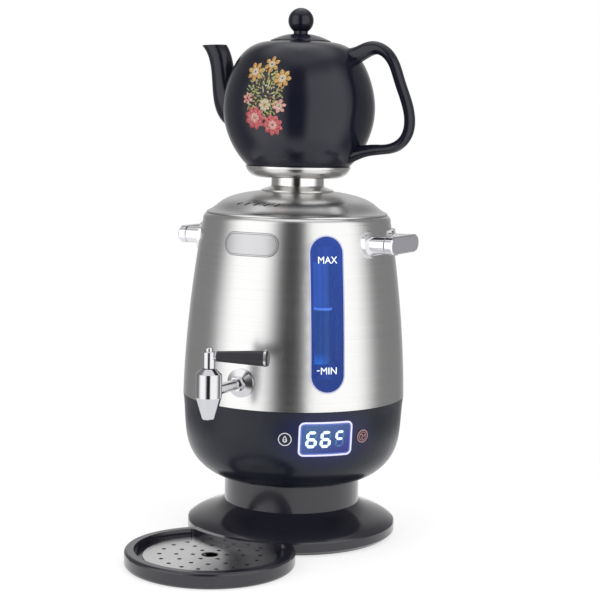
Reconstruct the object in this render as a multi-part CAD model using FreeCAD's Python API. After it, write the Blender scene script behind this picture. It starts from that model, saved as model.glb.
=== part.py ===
import FreeCAD, Part
import math
import os

# An electric samovar with a ceramic teapot on top. Millimetres, +Z up.
# The origin is on the table under the tank's axis, and the tap points along -Y.
# Angles are measured about +Z from -Y towards +X.

V = FreeCAD.Vector
UP = V(0, 0, 1)

# Clearances and standard thicknesses
GAP = 0.3                 # between pieces that lift off or slide freely
FIT = 0.15                # around a piece fixed in a hole
RUN = 0.05                # radial running clearance of a turning plug
END_PLAY = 0.1            # clearance at the ends of a turning plug
LIP = 2.0                 # width of a ledge that a fixed piece seats on
EDGE = 0.8                # chamfer on turned metal pieces
OVER = 1.0                # how far a cutter runs past the face it leaves

# Base
FOOT_H = 1.5
FOOT_R = 7.0
FOOT_COUNT = 4
BASE_R = 104.0
FOOT_PCD_R = BASE_R - 22.0
BASE_TUCK = 3.5           # slope under the rim, inwards and up
BASE_LIP_H = 13.0
BASE_EDGE_W = 0.8
BASE_EDGE_H = 1.4
BASE_FLANGE_R = BASE_R - 13.0
BASE_FLANGE_Z = BASE_LIP_H + 8.2
COLUMN_R = 67.5
COLUMN_FOOT_R = COLUMN_R + 9.1
COLUMN_FOOT_Z = BASE_FLANGE_Z + 6.0
COLUMN_Z = BASE_FLANGE_Z + 12.0
BASE_TOP_Z = COLUMN_Z + 26.0
BASE_WALL = 2.5
COVER_T = 2.0

# Lower housing. Its radii and the tank's follow the seam between them.
SEAM_R = 110.0
SEAM_Z = BASE_TOP_Z + 81.5
BOWL_FOOT_R = COLUMN_R + 2.0
BOWL_KNEE_R = SEAM_R - 23.5
BOWL_KNEE_Z = BASE_TOP_Z + 7.3
BOWL_SIDE_R = SEAM_R - 8.0
BOWL_SIDE_Z = BASE_TOP_Z + 25.8
BOWL_UPPER_R = SEAM_R - 2.6
BOWL_UPPER_Z = BASE_TOP_Z + 49.8
BOWL_WALL = 2.5
BOWL_HOLE_R = 30.0

# Tank
TANK_WALL = 1.0
TANK_MID_R = SEAM_R - 4.1
TANK_MID_Z = SEAM_Z + 71.3
TANK_HIGH_R = SEAM_R - 11.0
TANK_HIGH_Z = SEAM_Z + 131.3
TANK_TOP_R = SEAM_R - 17.3
TANK_TOP_Z = SEAM_Z + 172.3
RIM_R = TANK_TOP_R - 3.4
RIM_Z = TANK_TOP_Z + 6.5
MOUTH_R = RIM_R - 2.7
FLOOR_Z = SEAM_Z + 9.3
FLOOR_T = 1.2
FLOOR_RIM_W = 8.0
FLOOR_RIM_DROP = 4.0
SEAL_T = 1.6
SEAL_OVERHANG = 4.0

# Heating parts
HEATER_R = 60.0
HEATER_TUBE_R = 4.2
HEATER_END_Y = 14.0
HEATER_LEG = 22.0
HEAT_PLATE_R = 70.0
HEAT_PLATE_T = 3.0
SENSOR_R = 8.0
SENSOR_H = 9.0
SENSOR_PCD_R = 24.0
STUD_R = 3.0
STUD_PCD_R = 48.0
STUD_COUNT = 3
STUD_TURN_DEG = 100.0
STUD_END = 2.0
NUT_H = 5.0

# Samovar lid, neck and dish
LID_T = 1.0
LID_RIM_H = 1.0
LID_BEAD_W = 1.2
LID_BEAD_H = 1.8
LID_SEAT_W = 2.2
LID_EDGE_R = RIM_R - 7.3
LID_EDGE_Z = RIM_Z + 5.5
LID_SIDE_R = RIM_R - 14.3
LID_SIDE_Z = RIM_Z + 11.1
LID_CROWN_R = RIM_R - 27.3
LID_CROWN_Z = RIM_Z + 17.1
NECK_R = 26.0
LID_TOP_R = NECK_R + 10.5
LID_TOP_Z = RIM_Z + 22.0
LID_FLANGE_T = 0.6
LID_SKIRT_R = MOUTH_R - 1.2
LID_SKIRT_H = 10.0
LID_GASKET_DROP = 7.0
LID_GASKET_H = 3.0
VENT_COUNT = 5
VENT_R = RIM_R - 15.3
VENT_PITCH_DEG = 8.2
VENT_MID_DEG = -4.2
VENT_LENGTH = 6.2
VENT_WIDTH = 2.4
VENT_SLANT_DEG = 35.0
NECK_BORE_R = NECK_R - 2.5
NECK_SLEEVE_R = NECK_R - 0.5
NECK_CONE_H = 4.5
NECK_EDGE_W = 1.0
NECK_EDGE_H = 1.4
NECK_TOP_Z = LID_TOP_Z + 13.5
NECK_NUT_R = NECK_R + 3.5
NECK_NUT_H = 4.0
DISH_RIM_R = 52.0
DISH_RIM_Z = NECK_TOP_Z + 11.0
DISH_FLOOR_R = DISH_RIM_R - 14.0
DISH_KNEE_R = DISH_RIM_R - 4.5
DISH_KNEE_Z = NECK_TOP_Z + 3.8
DISH_T = 1.4
DISH_HOLE_R = 18.0

# Teapot. Its foot stands in the dish, and its heights are above its foot.
POT_WALL = 4.0
POT_FOOT_R = 34.0
POT_FOOT_Z = DISH_T + NECK_TOP_Z + GAP
POT_FLOOR_Z = POT_FOOT_Z + POT_WALL + 1.5
POT_HEEL_W = 8.0
POT_HEEL_H = 2.2
POT_R = 74.0
POT_LOW_R = POT_R - 24.5
POT_LOW_Z = POT_FOOT_Z + 8.8
POT_BELLY_LOW_R = POT_R - 10.0
POT_BELLY_LOW_Z = POT_FOOT_Z + 27.3
POT_MID_Z = POT_FOOT_Z + 58.3
POT_HIGH_R = POT_R - 6.2
POT_HIGH_Z = POT_FOOT_Z + 98.3
POT_SHOULDER_R = POT_R - 19.0
POT_SHOULDER_Z = POT_FOOT_Z + 119.3
POT_MOUTH_R = 27.0
POT_TOP_R = POT_MOUTH_R + 6.0
POT_TOP_Z = POT_FOOT_Z + 129.8

# Spout sections from root to tip: distance outside the pot's largest radius, height,
# half length, half width and tilt in degrees
SPOUT = ((-19.0, 59.3, 20.0, 17.0, -62.0), (6.0, 71.8, 15.6, 13.6, -38.0),
         (12.5, 99.3, 12.0, 11.5, -18.0), (23.0, 127.3, 13.3, 10.5, -2.0))
SPOUT_WALL = 2.6
STRAINER_HOLE_R = 2.2
STRAINER_PITCH = 8.0
STRAINER_Z = POT_FOOT_Z + 68.3

# Centre line of the teapot's handle: distance outside the pot's largest radius, height, thickness
GRIP_PATH = ((-26.0, 112.3, 20.0), (-8.0, 119.8, 16.0), (9.0, 123.8, 12.0), (21.0, 116.3, 10.0), (32.0, 93.3, 9.5),
             (40.5, 71.3, 9.5), (43.5, 52.3, 9.5), (38.5, 37.8, 9.5), (25.0, 29.3, 9.5), (6.0, 27.3, 10.0),
             (-8.0, 24.8, 13.0), (-22.0, 22.3, 19.0))
GRIP_BAR_W = 14.0
GRIP_SECTIONS = 18

# Teapot lid
TEA_LID_R = POT_MOUTH_R + 2.5
TEA_LID_T = 3.6
TEA_LID_SINK = 1.12
TEA_LID_EDGE_W = 3.0
TEA_LID_EDGE_H = 1.4
TEA_LID_WAIST_R = 18.0
TEA_LID_WAIST_H = 3.2
TEA_LID_DOME_H = 5.2
TEA_LID_SKIRT_T = 3.5
TEA_LID_SKIRT_H = 9.0
KNOB_NECK_R = 7.0
KNOB_R = 12.4
KNOB_Z = POT_TOP_Z + 20.7

# Level gauge
PANEL_DEG = 44.0
GAUGE_W = 32.4
GAUGE_H = 145.5
GAUGE_Z = SEAM_Z + 90.9
WINDOW_T = 2.5
WINDOW_PROUD = 0.4
GASKET_T = 1.0
HOUSING_WALL = 1.5
HOUSING_DEPTH = 25.0
HOUSING_FLANGE = 5.0
TUBE_R = 8.5
TUBE_WALL = 1.4
TUBE_INSET = 13.5
TUBE_CAP_R = 10.0
TUBE_CAP_H = 9.0
TUBE_CAP_T = 5.0
TUBE_PORT_R = 4.0
TUBE_PORT_REACH = 5.0
LED_W = 7.0
LED_T = 1.4
LED_MARGIN = 0.12         # share of the tube's length left free at each end

# Display, board and buttons
DISPLAY_W = 52.6
DISPLAY_H = 32.7
DISPLAY_Z = SEAM_Z - 25.9
DISPLAY_CORNER_R = 4.5
DISPLAY_T = 1.8
DISPLAY_PROUD = 0.2
MODULE_W = 44.0
MODULE_H = 24.0
MODULE_DEPTH = 12.0
BOARD_Y = SEAM_R - 23.0
BOARD_W = 92.0
BOARD_H = 27.0
BOARD_T = 1.6
BUTTON_OFFSET = 38.3
BUTTON_Z = DISPLAY_Z
BUTTON_R = 6.8
BUTTON_COLLAR = 1.6
BUTTON_TRAVEL = 0.8
BUTTON_STEM_R = 2.5
BUTTON_PROUD = 0.3
SWITCH_SIZE = 6.0
SWITCH_H = 4.0
BOSS_R = 3.6
BOSS_ROOT = 0.4
BOSS_DX = MODULE_W / 2 + BOSS_R + 0.4
BOARD_SCREW_R = 1.4
BOARD_SCREW_HEAD_H = 1.6
BOARD_SCREW_REACH = 8.0

# Name plate, left blank
PLATE_W = 56.0
PLATE_H = 21.5
PLATE_Z = SEAM_Z + 154.1
PLATE_T = 1.2

# Side handles
HANDLE_Z = SEAM_Z + 154.3
HANDLE_SPACING = 50.0
HANDLE_FACE_X = SEAM_R + 7.0
HANDLE_GRIP_T = 9.0
HANDLE_GRIP_H = 17.0
HANDLE_POST_R = 8.2
HANDLE_FLANGE_R = 13.3
HANDLE_FLANGE_T = 3.6
HANDLE_SCREW_R = 2.5
HANDLE_SCREW_REACH = 8.0
HANDLE_NUT_R = 6.0
HANDLE_NUT_H = 3.0
HANDLE_BEVEL = 1.2

# Tap
TAP_Z = SEAM_Z + 24.8
TAP_Y = -(SEAM_R + 58.0)
TAP_PIPE_R = 5.2
TAP_PIPE_BORE_R = 3.4
TAP_FLANGE_R = 13.6
TAP_FLANGE_T = 4.0
TAP_FLANGE_SLOPE = 4.0
TAP_WASHER_R = 10.0
TAP_WASHER_T = 1.0
TAP_HEX_R = 7.2
TAP_HEX_H = 6.0
TAP_NUT_H = 6.0
PLUG_R = 7.4
BARREL_R = PLUG_R + 4.4
BARREL_TAPER_Z = TAP_Z - 4.5
BARREL_TOP_Z = TAP_Z + 17.0
BARREL_BOTTOM_Z = TAP_Z - 24.8
BARREL_FLOOR_Z = TAP_Z - 11.5
OUTLET_BORE_R = 3.4
BARREL_TIP_R = OUTLET_BORE_R + 2.4
PIPE_SEAT = 0.6
PLUG_TOP_Z = TAP_Z + 10.5
STEM_R = 3.0
BONNET_TOP_Z = BARREL_TOP_Z + 4.5
BONNET_TOP_R = 7.0
HUB_R = 6.25
HUB_TOP_Z = BONNET_TOP_Z + 16.0
HUB_CAP_R = 3.8
HUB_CAP_H = 3.6
LEVER_Z = BONNET_TOP_Z + 11.6
LEVER_ROD_R = 2.6
LEVER_COLLAR_R = 4.1
STEM_TOP_Z = LEVER_Z - LEVER_ROD_R - 1.0
LEVER_DEG = 17.7          # the lever's turn from +X towards the tank when closed
GRIP_START_X = 6.9
GRIP_END_X = 50.4
GRIP_START_R = 4.7
GRIP_END_R = 7.2
GRIP_RING_T = 2.2
GRIP_RING_STEP = 0.35
GRIP_CAP_T = 1.6

# Drip tray. It nests against the base.
TRAY_R = 79.5
TRAY_Y = -(BASE_R + 46.0)
TRAY_DEG = -2.7           # its side of the base, from -Y towards +X
TRAY_H = 15.5
TRAY_RIM_W = 9.0
TRAY_FLOOR_T = 2.2
TRAY_EDGE = 3.0
TRAY_FOOT_EDGE = 4.5
TRAY_CORNER = 6.0
PLATE_SEAT_Z = TRAY_H - 7.0
DRIP_PLATE_R = TRAY_R - 17.5
DRIP_PLATE_T = 1.0
DRIP_CENTRE_HOLE_R = 8.0
DRIP_HOLE_R = 2.2
DRIP_RINGS = 3
DRIP_RING_PITCH = 15.6
DRIP_HOLES_PER_RING = 6

# Power inlet at the back
INLET_Z = BASE_TOP_Z + 40.8
INLET_W = 31.0
INLET_H = 24.0
INLET_T = 2.5
INLET_BODY_W = INLET_W - 4.0
INLET_BODY_H = INLET_H - 4.5
INLET_DEPTH = 24.0
INLET_SOCKET_W = INLET_BODY_W - 3.5
INLET_SOCKET_H = INLET_BODY_H - 4.0
INLET_SOCKET_DEPTH = 17.0
INLET_SEAT_Y = SEAM_R - 7.0
PIN_W = 2.0
PIN_H = 4.0
PIN_PITCH = 7.0
PIN_STAGGER = 2.0
PIN_RECESS = 2.0


# Shapes and placing

def direction(degrees):
    a = math.radians(degrees)
    return V(math.sin(a), -math.cos(a), 0)


def sideways(degrees):
    a = math.radians(degrees)
    return V(math.cos(a), math.sin(a), 0)


def spline(points):
    curve = Part.BSplineCurve()
    curve.interpolate([V(r, 0, z) for r, z in points])
    return curve


def parameter_at(curve, z):
    """Place along a profile curve at the height z."""
    low, high = curve.FirstParameter, curve.LastParameter
    for _ in range(50):
        middle = (low + high) / 2
        if curve.value(middle).z < z:
            low = middle
        else:
            high = middle
    return low


def radius_at(curve, z):
    """Distance of a profile curve from the axis at the height z."""
    return curve.value(parameter_at(curve, z)).x


def inset_points(curve, count, depth):
    """Points at the given depth inside a profile curve that rises along the axis."""
    points = []
    for i in range(count):
        u = curve.FirstParameter + (curve.LastParameter - curve.FirstParameter) * i / (count - 1)
        p = curve.value(u)
        t = curve.tangent(u)[0]
        points.append((p.x - depth * t.z, p.z + depth * t.x))
    return points


def turned(outline):
    """Solid of revolution about Z. The outline is a closed list of (r, z) points and curves."""
    edges = []
    last = None
    first = None
    for item in outline:
        if isinstance(item, tuple):
            start = end = V(item[0], 0, item[1])
            edge = None
        else:
            edge = item.toShape()
            start, end = item.value(item.FirstParameter), item.value(item.LastParameter)
            if last is not None and (last - end).Length < (last - start).Length:
                start, end = end, start
        if last is not None and (last - start).Length > 1e-6:
            edges.append(Part.makeLine(last, start))
        if edge is not None:
            edges.append(edge)
        if first is None:
            first = start
        last = end
    if (last - first).Length > 1e-6:
        edges.append(Part.makeLine(last, first))
    wire = Part.Wire(Part.__sortEdges__(edges))
    return Part.Face(wire).revolve(V(0, 0, 0), UP, 360)


def tube(r_out, r_in, z0, z1):
    low = V(0, 0, z0)
    return Part.makeCylinder(r_out, z1 - z0, low).cut(Part.makeCylinder(r_in, z1 - z0, low))


def rod(r, start, end):
    return Part.makeCylinder(r, (end - start).Length, start, end - start)


def hexagon(r, start, end):
    """Hexagonal prism between two points, r to its corners."""
    axis = (end - start).normalize()
    side = UP if abs(axis.z) < 0.5 else V(1, 0, 0)
    other = axis.cross(side)
    corners = []
    for i in range(7):
        a = math.radians(60 * i + 30)
        corners.append(start + side * (r * math.cos(a)) + other * (r * math.sin(a)))
    length = (end - start).dot(axis)
    return Part.Face(Part.makePolygon(corners)).extrude(axis * length)


def rounded(width, height, corner, degrees, z, grow=0.0):
    """Rounded rectangle standing on the axis, facing along the given angle."""
    w, h, r = width / 2 + grow, height / 2 + grow, corner + grow
    r = min(r, w - 0.01, h - 0.01)
    side = sideways(degrees)

    def at(x, y):
        return side * x + V(0, 0, z + y)

    s = r * (1 - math.sqrt(0.5))
    edges = [Part.makeLine(at(-w + r, -h), at(w - r, -h)),
             Part.Arc(at(w - r, -h), at(w - s, -h + s), at(w, -h + r)).toShape(),
             Part.makeLine(at(w, -h + r), at(w, h - r)),
             Part.Arc(at(w, h - r), at(w - s, h - s), at(w - r, h)).toShape(),
             Part.makeLine(at(w - r, h), at(-w + r, h)),
             Part.Arc(at(-w + r, h), at(-w + s, h - s), at(-w, h - r)).toShape(),
             Part.makeLine(at(-w, h - r), at(-w, -h + r)),
             Part.Arc(at(-w, -h + r), at(-w + s, -h + s), at(-w + r, -h)).toShape()]
    return Part.Face(Part.Wire(edges)).extrude(direction(degrees) * (2 * SEAM_R))


def disc(r, degrees, x, z):
    """Cylinder from the axis outwards, parallel to the given angle and x to its side."""
    start = sideways(degrees) * x + V(0, 0, z)
    return rod(r, start, start + direction(degrees) * (2 * SEAM_R))


def shifted(curve, distance):
    """Copy of a profile curve, moved away from the axis."""
    copy = curve.copy()
    copy.translate(V(distance, 0, 0))
    return copy


def skin(curve, outer, inner):
    """Shell of revolution along a profile curve, from the offset inner to the offset outer."""
    return turned([shifted(curve, outer), shifted(curve, inner)])


def stretch(curve, z0, z1):
    """Part of a profile curve between two heights."""
    piece = curve.copy()
    piece.segment(parameter_at(curve, z0), parameter_at(curve, z1))
    return piece


def wrapped(curve, outline, outer, inner):
    """Piece of a given outline that follows the wall, between two offsets from its face."""
    box = outline.BoundBox
    return skin(stretch(curve, box.ZMin - LIP, box.ZMax + LIP), outer, inner).common(outline)


def fuse(shapes):
    return shapes[0].fuse(shapes[1:]).removeSplitter()


# Profile curves

FLARE = spline([(BASE_R - BASE_EDGE_W, BASE_LIP_H + BASE_EDGE_H), (BASE_FLANGE_R, BASE_FLANGE_Z),
                (COLUMN_FOOT_R, COLUMN_FOOT_Z), (COLUMN_R, COLUMN_Z)])
BOWL = spline([(BOWL_FOOT_R, BASE_TOP_Z), (BOWL_KNEE_R, BOWL_KNEE_Z), (BOWL_SIDE_R, BOWL_SIDE_Z),
               (BOWL_UPPER_R, BOWL_UPPER_Z), (SEAM_R, SEAM_Z)])
TANK = spline([(SEAM_R, SEAM_Z), (TANK_MID_R, TANK_MID_Z), (TANK_HIGH_R, TANK_HIGH_Z), (TANK_TOP_R, TANK_TOP_Z)])
LID = spline([(RIM_R - LID_BEAD_W, RIM_Z + GAP + LID_BEAD_H), (LID_EDGE_R, LID_EDGE_Z),
              (LID_SIDE_R, LID_SIDE_Z), (LID_CROWN_R, LID_CROWN_Z), (LID_TOP_R, LID_TOP_Z)])
POT = spline([(POT_LOW_R, POT_LOW_Z), (POT_BELLY_LOW_R, POT_BELLY_LOW_Z), (POT_R, POT_MID_Z),
              (POT_HIGH_R, POT_HIGH_Z), (POT_SHOULDER_R, POT_SHOULDER_Z), (POT_TOP_R, POT_TOP_Z)])


# Base and lower housing

def pedestal_base():
    inside = spline(inset_points(FLARE, 7, BASE_WALL))
    wall = BASE_R - BASE_WALL
    base = turned([(BASE_R - BASE_TUCK, FOOT_H), (BASE_R, FOOT_H + BASE_TUCK), (BASE_R, BASE_LIP_H), FLARE,
                   (COLUMN_R, BASE_TOP_Z),
                   (BOWL_HOLE_R, BASE_TOP_Z), (BOWL_HOLE_R, BASE_TOP_Z - BASE_WALL),
                   (COLUMN_R - BASE_WALL, BASE_TOP_Z - BASE_WALL), inside,
                   (wall, BASE_LIP_H - BASE_WALL), (wall, FOOT_H + BASE_TUCK), (wall - BASE_TUCK, FOOT_H)])
    for stud in stud_axes():
        base = base.cut(rod(STUD_R + FIT, stud + V(0, 0, BASE_TOP_Z - BASE_WALL), stud + V(0, 0, BASE_TOP_Z)))
    return base


def bottom_cover():
    return Part.makeCylinder(BASE_R - BASE_TUCK - BASE_WALL - FIT, COVER_T, V(0, 0, FOOT_H))


def rubber_feet():
    feet = [Part.makeCylinder(FOOT_R, FOOT_H)]
    for i in range(FOOT_COUNT):
        centre = direction(360 / FOOT_COUNT * (i + 0.5)) * FOOT_PCD_R
        feet.append(Part.makeCylinder(FOOT_R, FOOT_H, centre))
    return Part.makeCompound(feet)


def stud_axes():
    return [direction(360 / STUD_COUNT * i + STUD_TURN_DEG) * STUD_PCD_R for i in range(STUD_COUNT)]


def lower_housing():
    depths = inset_points(BOWL, 9, BOWL_WALL)
    inner = spline([(COLUMN_R, BASE_TOP_Z + BOWL_WALL)] + depths[2:-1] + [(SEAM_R - BOWL_WALL, SEAM_Z)])
    bowl = turned([(BOWL_HOLE_R, BASE_TOP_Z), BOWL, (SEAM_R - BOWL_WALL, SEAM_Z), inner,
                   (BOWL_HOLE_R, BASE_TOP_Z + BOWL_WALL)])
    pocket = rounded(DISPLAY_W, DISPLAY_H, DISPLAY_CORNER_R, PANEL_DEG, DISPLAY_Z, FIT)
    bowl = bowl.cut(wrapped(BOWL, pocket, BOWL_WALL, -DISPLAY_T))
    bowl = bowl.cut(rounded(DISPLAY_W - 2 * LIP, DISPLAY_H - 2 * LIP, DISPLAY_CORNER_R, PANEL_DEG, DISPLAY_Z))
    for side in (-1, 1):
        bowl = bowl.cut(disc(BUTTON_R + FIT, PANEL_DEG, side * BUTTON_OFFSET, BUTTON_Z))
    bowl = bowl.cut(box_y(INLET_BODY_W + 2 * FIT, INLET_BODY_H + 2 * FIT, 0, 2 * SEAM_R, INLET_Z))
    bowl = bowl.cut(box_y(INLET_W + 2 * FIT, INLET_H + 2 * FIT, INLET_SEAT_Y, 2 * SEAM_R, INLET_Z))
    for stud in stud_axes():
        bowl = bowl.cut(rod(STUD_R + FIT, stud + V(0, 0, BASE_TOP_Z), stud + V(0, 0, BASE_TOP_Z + BOWL_WALL)))
    inside = skin(BOWL, BOSS_ROOT - BOWL_WALL, -SEAM_R / 2)
    bowl = fuse([bowl] + [boss.common(inside) for boss in board_bosses()])
    for screw in board_screw_rods(BOARD_Y + BOARD_T, BOARD_Y + BOARD_T + BOARD_SCREW_REACH):
        bowl = bowl.cut(screw)
    return bowl


def panel_rod(r, x, z, start, end):
    """Cylinder square to the control board, x along it."""
    foot = sideways(PANEL_DEG) * x + V(0, 0, z)
    return rod(r, foot + direction(PANEL_DEG) * start, foot + direction(PANEL_DEG) * end)


def board_places():
    """Screws stand at the board's corners, above and below the display."""
    dz = BOARD_H / 2 - BOSS_R
    return [(x, BUTTON_Z + z) for x in (-BOSS_DX, BOSS_DX) for z in (-dz, dz)]


def board_bosses():
    return [panel_rod(BOSS_R, x, z, BOARD_Y + BOARD_T, SEAM_R) for x, z in board_places()]


def board_screw_rods(start, end):
    return [panel_rod(BOARD_SCREW_R, x, z, start, end) for x, z in board_places()]


def box_y(width, height, y0, y1, z):
    """Box centred on X and on the height z, from y0 to y1."""
    return Part.makeBox(width, y1 - y0, height, V(-width / 2, y0, z - height / 2))


def power_inlet():
    plate = box_y(INLET_W, INLET_H, INLET_SEAT_Y, INLET_SEAT_Y + INLET_T, INLET_Z)
    body = box_y(INLET_BODY_W, INLET_BODY_H, INLET_SEAT_Y - INLET_DEPTH, INLET_SEAT_Y, INLET_Z)
    socket = box_y(INLET_SOCKET_W, INLET_SOCKET_H, INLET_SEAT_Y + INLET_T - INLET_SOCKET_DEPTH,
                   INLET_SEAT_Y + INLET_T, INLET_Z)
    shell = fuse([plate, body]).cut(socket)
    for pin in inlet_pin_boxes():
        shell = shell.cut(pin)
    return shell


def inlet_pin_boxes():
    back = INLET_SEAT_Y - INLET_DEPTH
    front = INLET_SEAT_Y + INLET_T - PIN_RECESS
    rows = ((-PIN_PITCH, -PIN_STAGGER), (0.0, PIN_STAGGER), (PIN_PITCH, -PIN_STAGGER))
    return [box_y(PIN_W, PIN_H, back, front, INLET_Z + dz).translate(V(dx, 0, 0)) for dx, dz in rows]


def inlet_pins():
    return Part.makeCompound(inlet_pin_boxes())


# Tank and heating parts

def tank_rim_curve(depth):
    """Round from the wall to the rim's flat top. It bulges out from the straight line between them."""
    start = V(TANK_TOP_R - depth, 0, TANK_TOP_Z)
    end = V(RIM_R - depth, 0, RIM_Z - depth)
    middle = V(start.x + (end.x - start.x) * 0.28, 0, start.z + (end.z - start.z) * 0.62)
    return Part.Arc(start, middle, end)


def tank_shell():
    inner = shifted(TANK, -TANK_WALL)
    shell = turned([TANK, tank_rim_curve(0.0), (MOUTH_R, RIM_Z), (MOUTH_R, RIM_Z - TANK_WALL),
                    tank_rim_curve(TANK_WALL), inner])
    shell = shell.cut(gauge_outline(0.0))
    shell = shell.cut(rod(TAP_PIPE_R + FIT, V(0, 0, TAP_Z), V(0, -2 * SEAM_R, TAP_Z)))
    for y in handle_ys():
        shell = shell.cut(rod(HANDLE_SCREW_R + FIT, V(-2 * SEAM_R, y, HANDLE_Z), V(2 * SEAM_R, y, HANDLE_Z)))
    return shell


def tank_floor():
    r = radius_at(TANK, FLOOR_Z) - TANK_WALL
    low = FLOOR_Z - FLOOR_RIM_DROP
    return turned([(0, FLOOR_Z), (r - FLOOR_RIM_W, FLOOR_Z), (r, low), (r, low - FLOOR_T),
                   (r - FLOOR_RIM_W, FLOOR_Z - FLOOR_T), (0, FLOOR_Z - FLOOR_T)])


def seam_seal():
    outer = min(SEAM_R, radius_at(TANK, SEAM_Z + SEAL_T)) - TANK_WALL - FIT
    return tube(outer, SEAM_R - BOWL_WALL - SEAL_OVERHANG, SEAM_Z, SEAM_Z + SEAL_T)


def heater_plate():
    top = FLOOR_Z - FLOOR_T
    return Part.makeCylinder(HEAT_PLATE_R, HEAT_PLATE_T, V(0, 0, top - HEAT_PLATE_T))


def heating_element():
    z = FLOOR_Z - FLOOR_T - HEAT_PLATE_T - HEATER_TUBE_R
    ring = Part.makeTorus(HEATER_R, HEATER_TUBE_R, V(0, 0, z))
    opening = 2 * HEATER_END_Y - HEATER_TUBE_R
    low = V(0, -opening / 2, z - 2 * HEATER_TUBE_R)
    ring = ring.cut(Part.makeBox(2 * HEATER_R, opening, 4 * HEATER_TUBE_R, low))
    ends = [rod(HEATER_TUBE_R, V(HEATER_R, y, z), V(HEATER_R, y, z - HEATER_LEG))
            for y in (-HEATER_END_Y, HEATER_END_Y)]
    return fuse([ring] + ends)


def under_plate(angle, r, height):
    """Cylinder that hangs from the heater plate's underside."""
    top = FLOOR_Z - FLOOR_T - HEAT_PLATE_T
    return Part.makeCylinder(r, height, direction(angle) * SENSOR_PCD_R + V(0, 0, top - height))


def tank_studs():
    top = FLOOR_Z - FLOOR_T - HEAT_PLATE_T
    bottom = BASE_TOP_Z - BASE_WALL - NUT_H - STUD_END
    return Part.makeCompound([rod(STUD_R, s + V(0, 0, bottom), s + V(0, 0, top)) for s in stud_axes()])


def stud_nuts():
    nuts = []
    top = BASE_TOP_Z - BASE_WALL
    for s in stud_axes():
        nut = hexagon(2 * STUD_R, s + V(0, 0, top - NUT_H), s + V(0, 0, top))
        nuts.append(nut.cut(rod(STUD_R, s + V(0, 0, top - NUT_H), s + V(0, 0, top))))
    return Part.makeCompound(nuts)


# Level gauge

def gauge_outline(grow):
    return rounded(GAUGE_W, GAUGE_H, GAUGE_W / 2, PANEL_DEG, GAUGE_Z, grow)


def gauge_window():
    return wrapped(TANK, gauge_outline(-FIT), WINDOW_PROUD, WINDOW_PROUD - WINDOW_T)


def gauge_gasket():
    ring = gauge_outline(HOUSING_FLANGE).cut(gauge_outline(0.0))
    return wrapped(TANK, ring, -TANK_WALL, -TANK_WALL - GASKET_T)


def gauge_housing():
    face = -TANK_WALL - GASKET_T
    tub = wrapped(TANK, gauge_outline(HOUSING_WALL - LIP), face, face - HOUSING_DEPTH)
    flange = wrapped(TANK, gauge_outline(HOUSING_FLANGE), face, face - HOUSING_WALL)
    hollow = wrapped(TANK, gauge_outline(-LIP), face + OVER, face - HOUSING_DEPTH + HOUSING_WALL)
    seat = wrapped(TANK, gauge_outline(0.0), face + OVER, WINDOW_PROUD - WINDOW_T)
    housing = fuse([tub, flange]).cut(hollow).cut(seat)
    for fraction in (0, 1):
        housing = housing.cut(tube_port(fraction, TUBE_PORT_R + FIT))
    return housing


def tube_port(fraction, r):
    """Short pipe from an end of the level tube through the housing into the tank."""
    end = tube_line(fraction)
    return rod(r, end, end - direction(PANEL_DEG) * (HOUSING_DEPTH - TUBE_INSET + TUBE_PORT_REACH))


def tube_line(fraction):
    """Point on the level tube's axis, from its low end 0 to its high end 1."""
    half = GAUGE_H / 2 - GAUGE_W / 2
    z = GAUGE_Z - half + 2 * half * fraction
    return direction(PANEL_DEG) * (radius_at(TANK, z) - TUBE_INSET) + V(0, 0, z)


def level_tube():
    a, b = tube_line(0), tube_line(1)
    return rod(TUBE_R, a, b).cut(rod(TUBE_R - TUBE_WALL, a, b))


def tube_caps():
    caps = []
    for start, end in ((0, 1), (1, 0)):
        a, b = tube_line(start), tube_line(end)
        along = (b - a).normalize()
        cap = rod(TUBE_CAP_R, a - along * TUBE_CAP_T, a + along * TUBE_CAP_H)
        seat = rod(TUBE_R, a, a + along * (TUBE_CAP_H + OVER))
        caps.append(fuse([cap, tube_port(start, TUBE_PORT_R)]).cut(seat))
    return Part.makeCompound(caps)


def gauge_led_strip():
    a, b = tube_line(LED_MARGIN), tube_line(1 - LED_MARGIN)
    along = b - a
    side = sideways(PANEL_DEG)
    out = side.cross(along).normalize()
    x = GAUGE_W / 2 - LIP - LED_T
    corner = a + side * x - out * (LED_W / 2)
    outline = Part.makePolygon([corner, corner + side * LED_T, corner + side * LED_T + out * LED_W,
                                corner + out * LED_W, corner])
    return Part.Face(outline).extrude(along)


# Display, board and buttons

def display_window():
    outline = rounded(DISPLAY_W, DISPLAY_H, DISPLAY_CORNER_R, PANEL_DEG, DISPLAY_Z)
    return wrapped(BOWL, outline, DISPLAY_PROUD, -DISPLAY_T)


def panel_box(width, height, z, start, end, x=0.0):
    """Box square to the control board, from the distance start to end in front of the axis."""
    side = sideways(PANEL_DEG)
    out = direction(PANEL_DEG)
    corner = side * (x - width / 2) + out * start + V(0, 0, z - height / 2)
    outline = Part.makePolygon([corner, corner + side * width, corner + side * width + V(0, 0, height),
                                corner + V(0, 0, height), corner])
    return Part.Face(outline).extrude(out * (end - start))


def control_board():
    board = panel_box(BOARD_W, BOARD_H, BUTTON_Z, BOARD_Y, BOARD_Y + BOARD_T)
    for hole in board_screw_rods(BOARD_Y, BOARD_Y + BOARD_T):
        board = board.cut(hole)
    return board


def board_screws():
    screws = []
    for x, z in board_places():
        head = panel_rod(2 * BOARD_SCREW_R, x, z, BOARD_Y - BOARD_SCREW_HEAD_H, BOARD_Y)
        screws.append(fuse([head, panel_rod(BOARD_SCREW_R, x, z, BOARD_Y, BOARD_Y + BOARD_T + BOARD_SCREW_REACH)]))
    return Part.makeCompound(screws)


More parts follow.
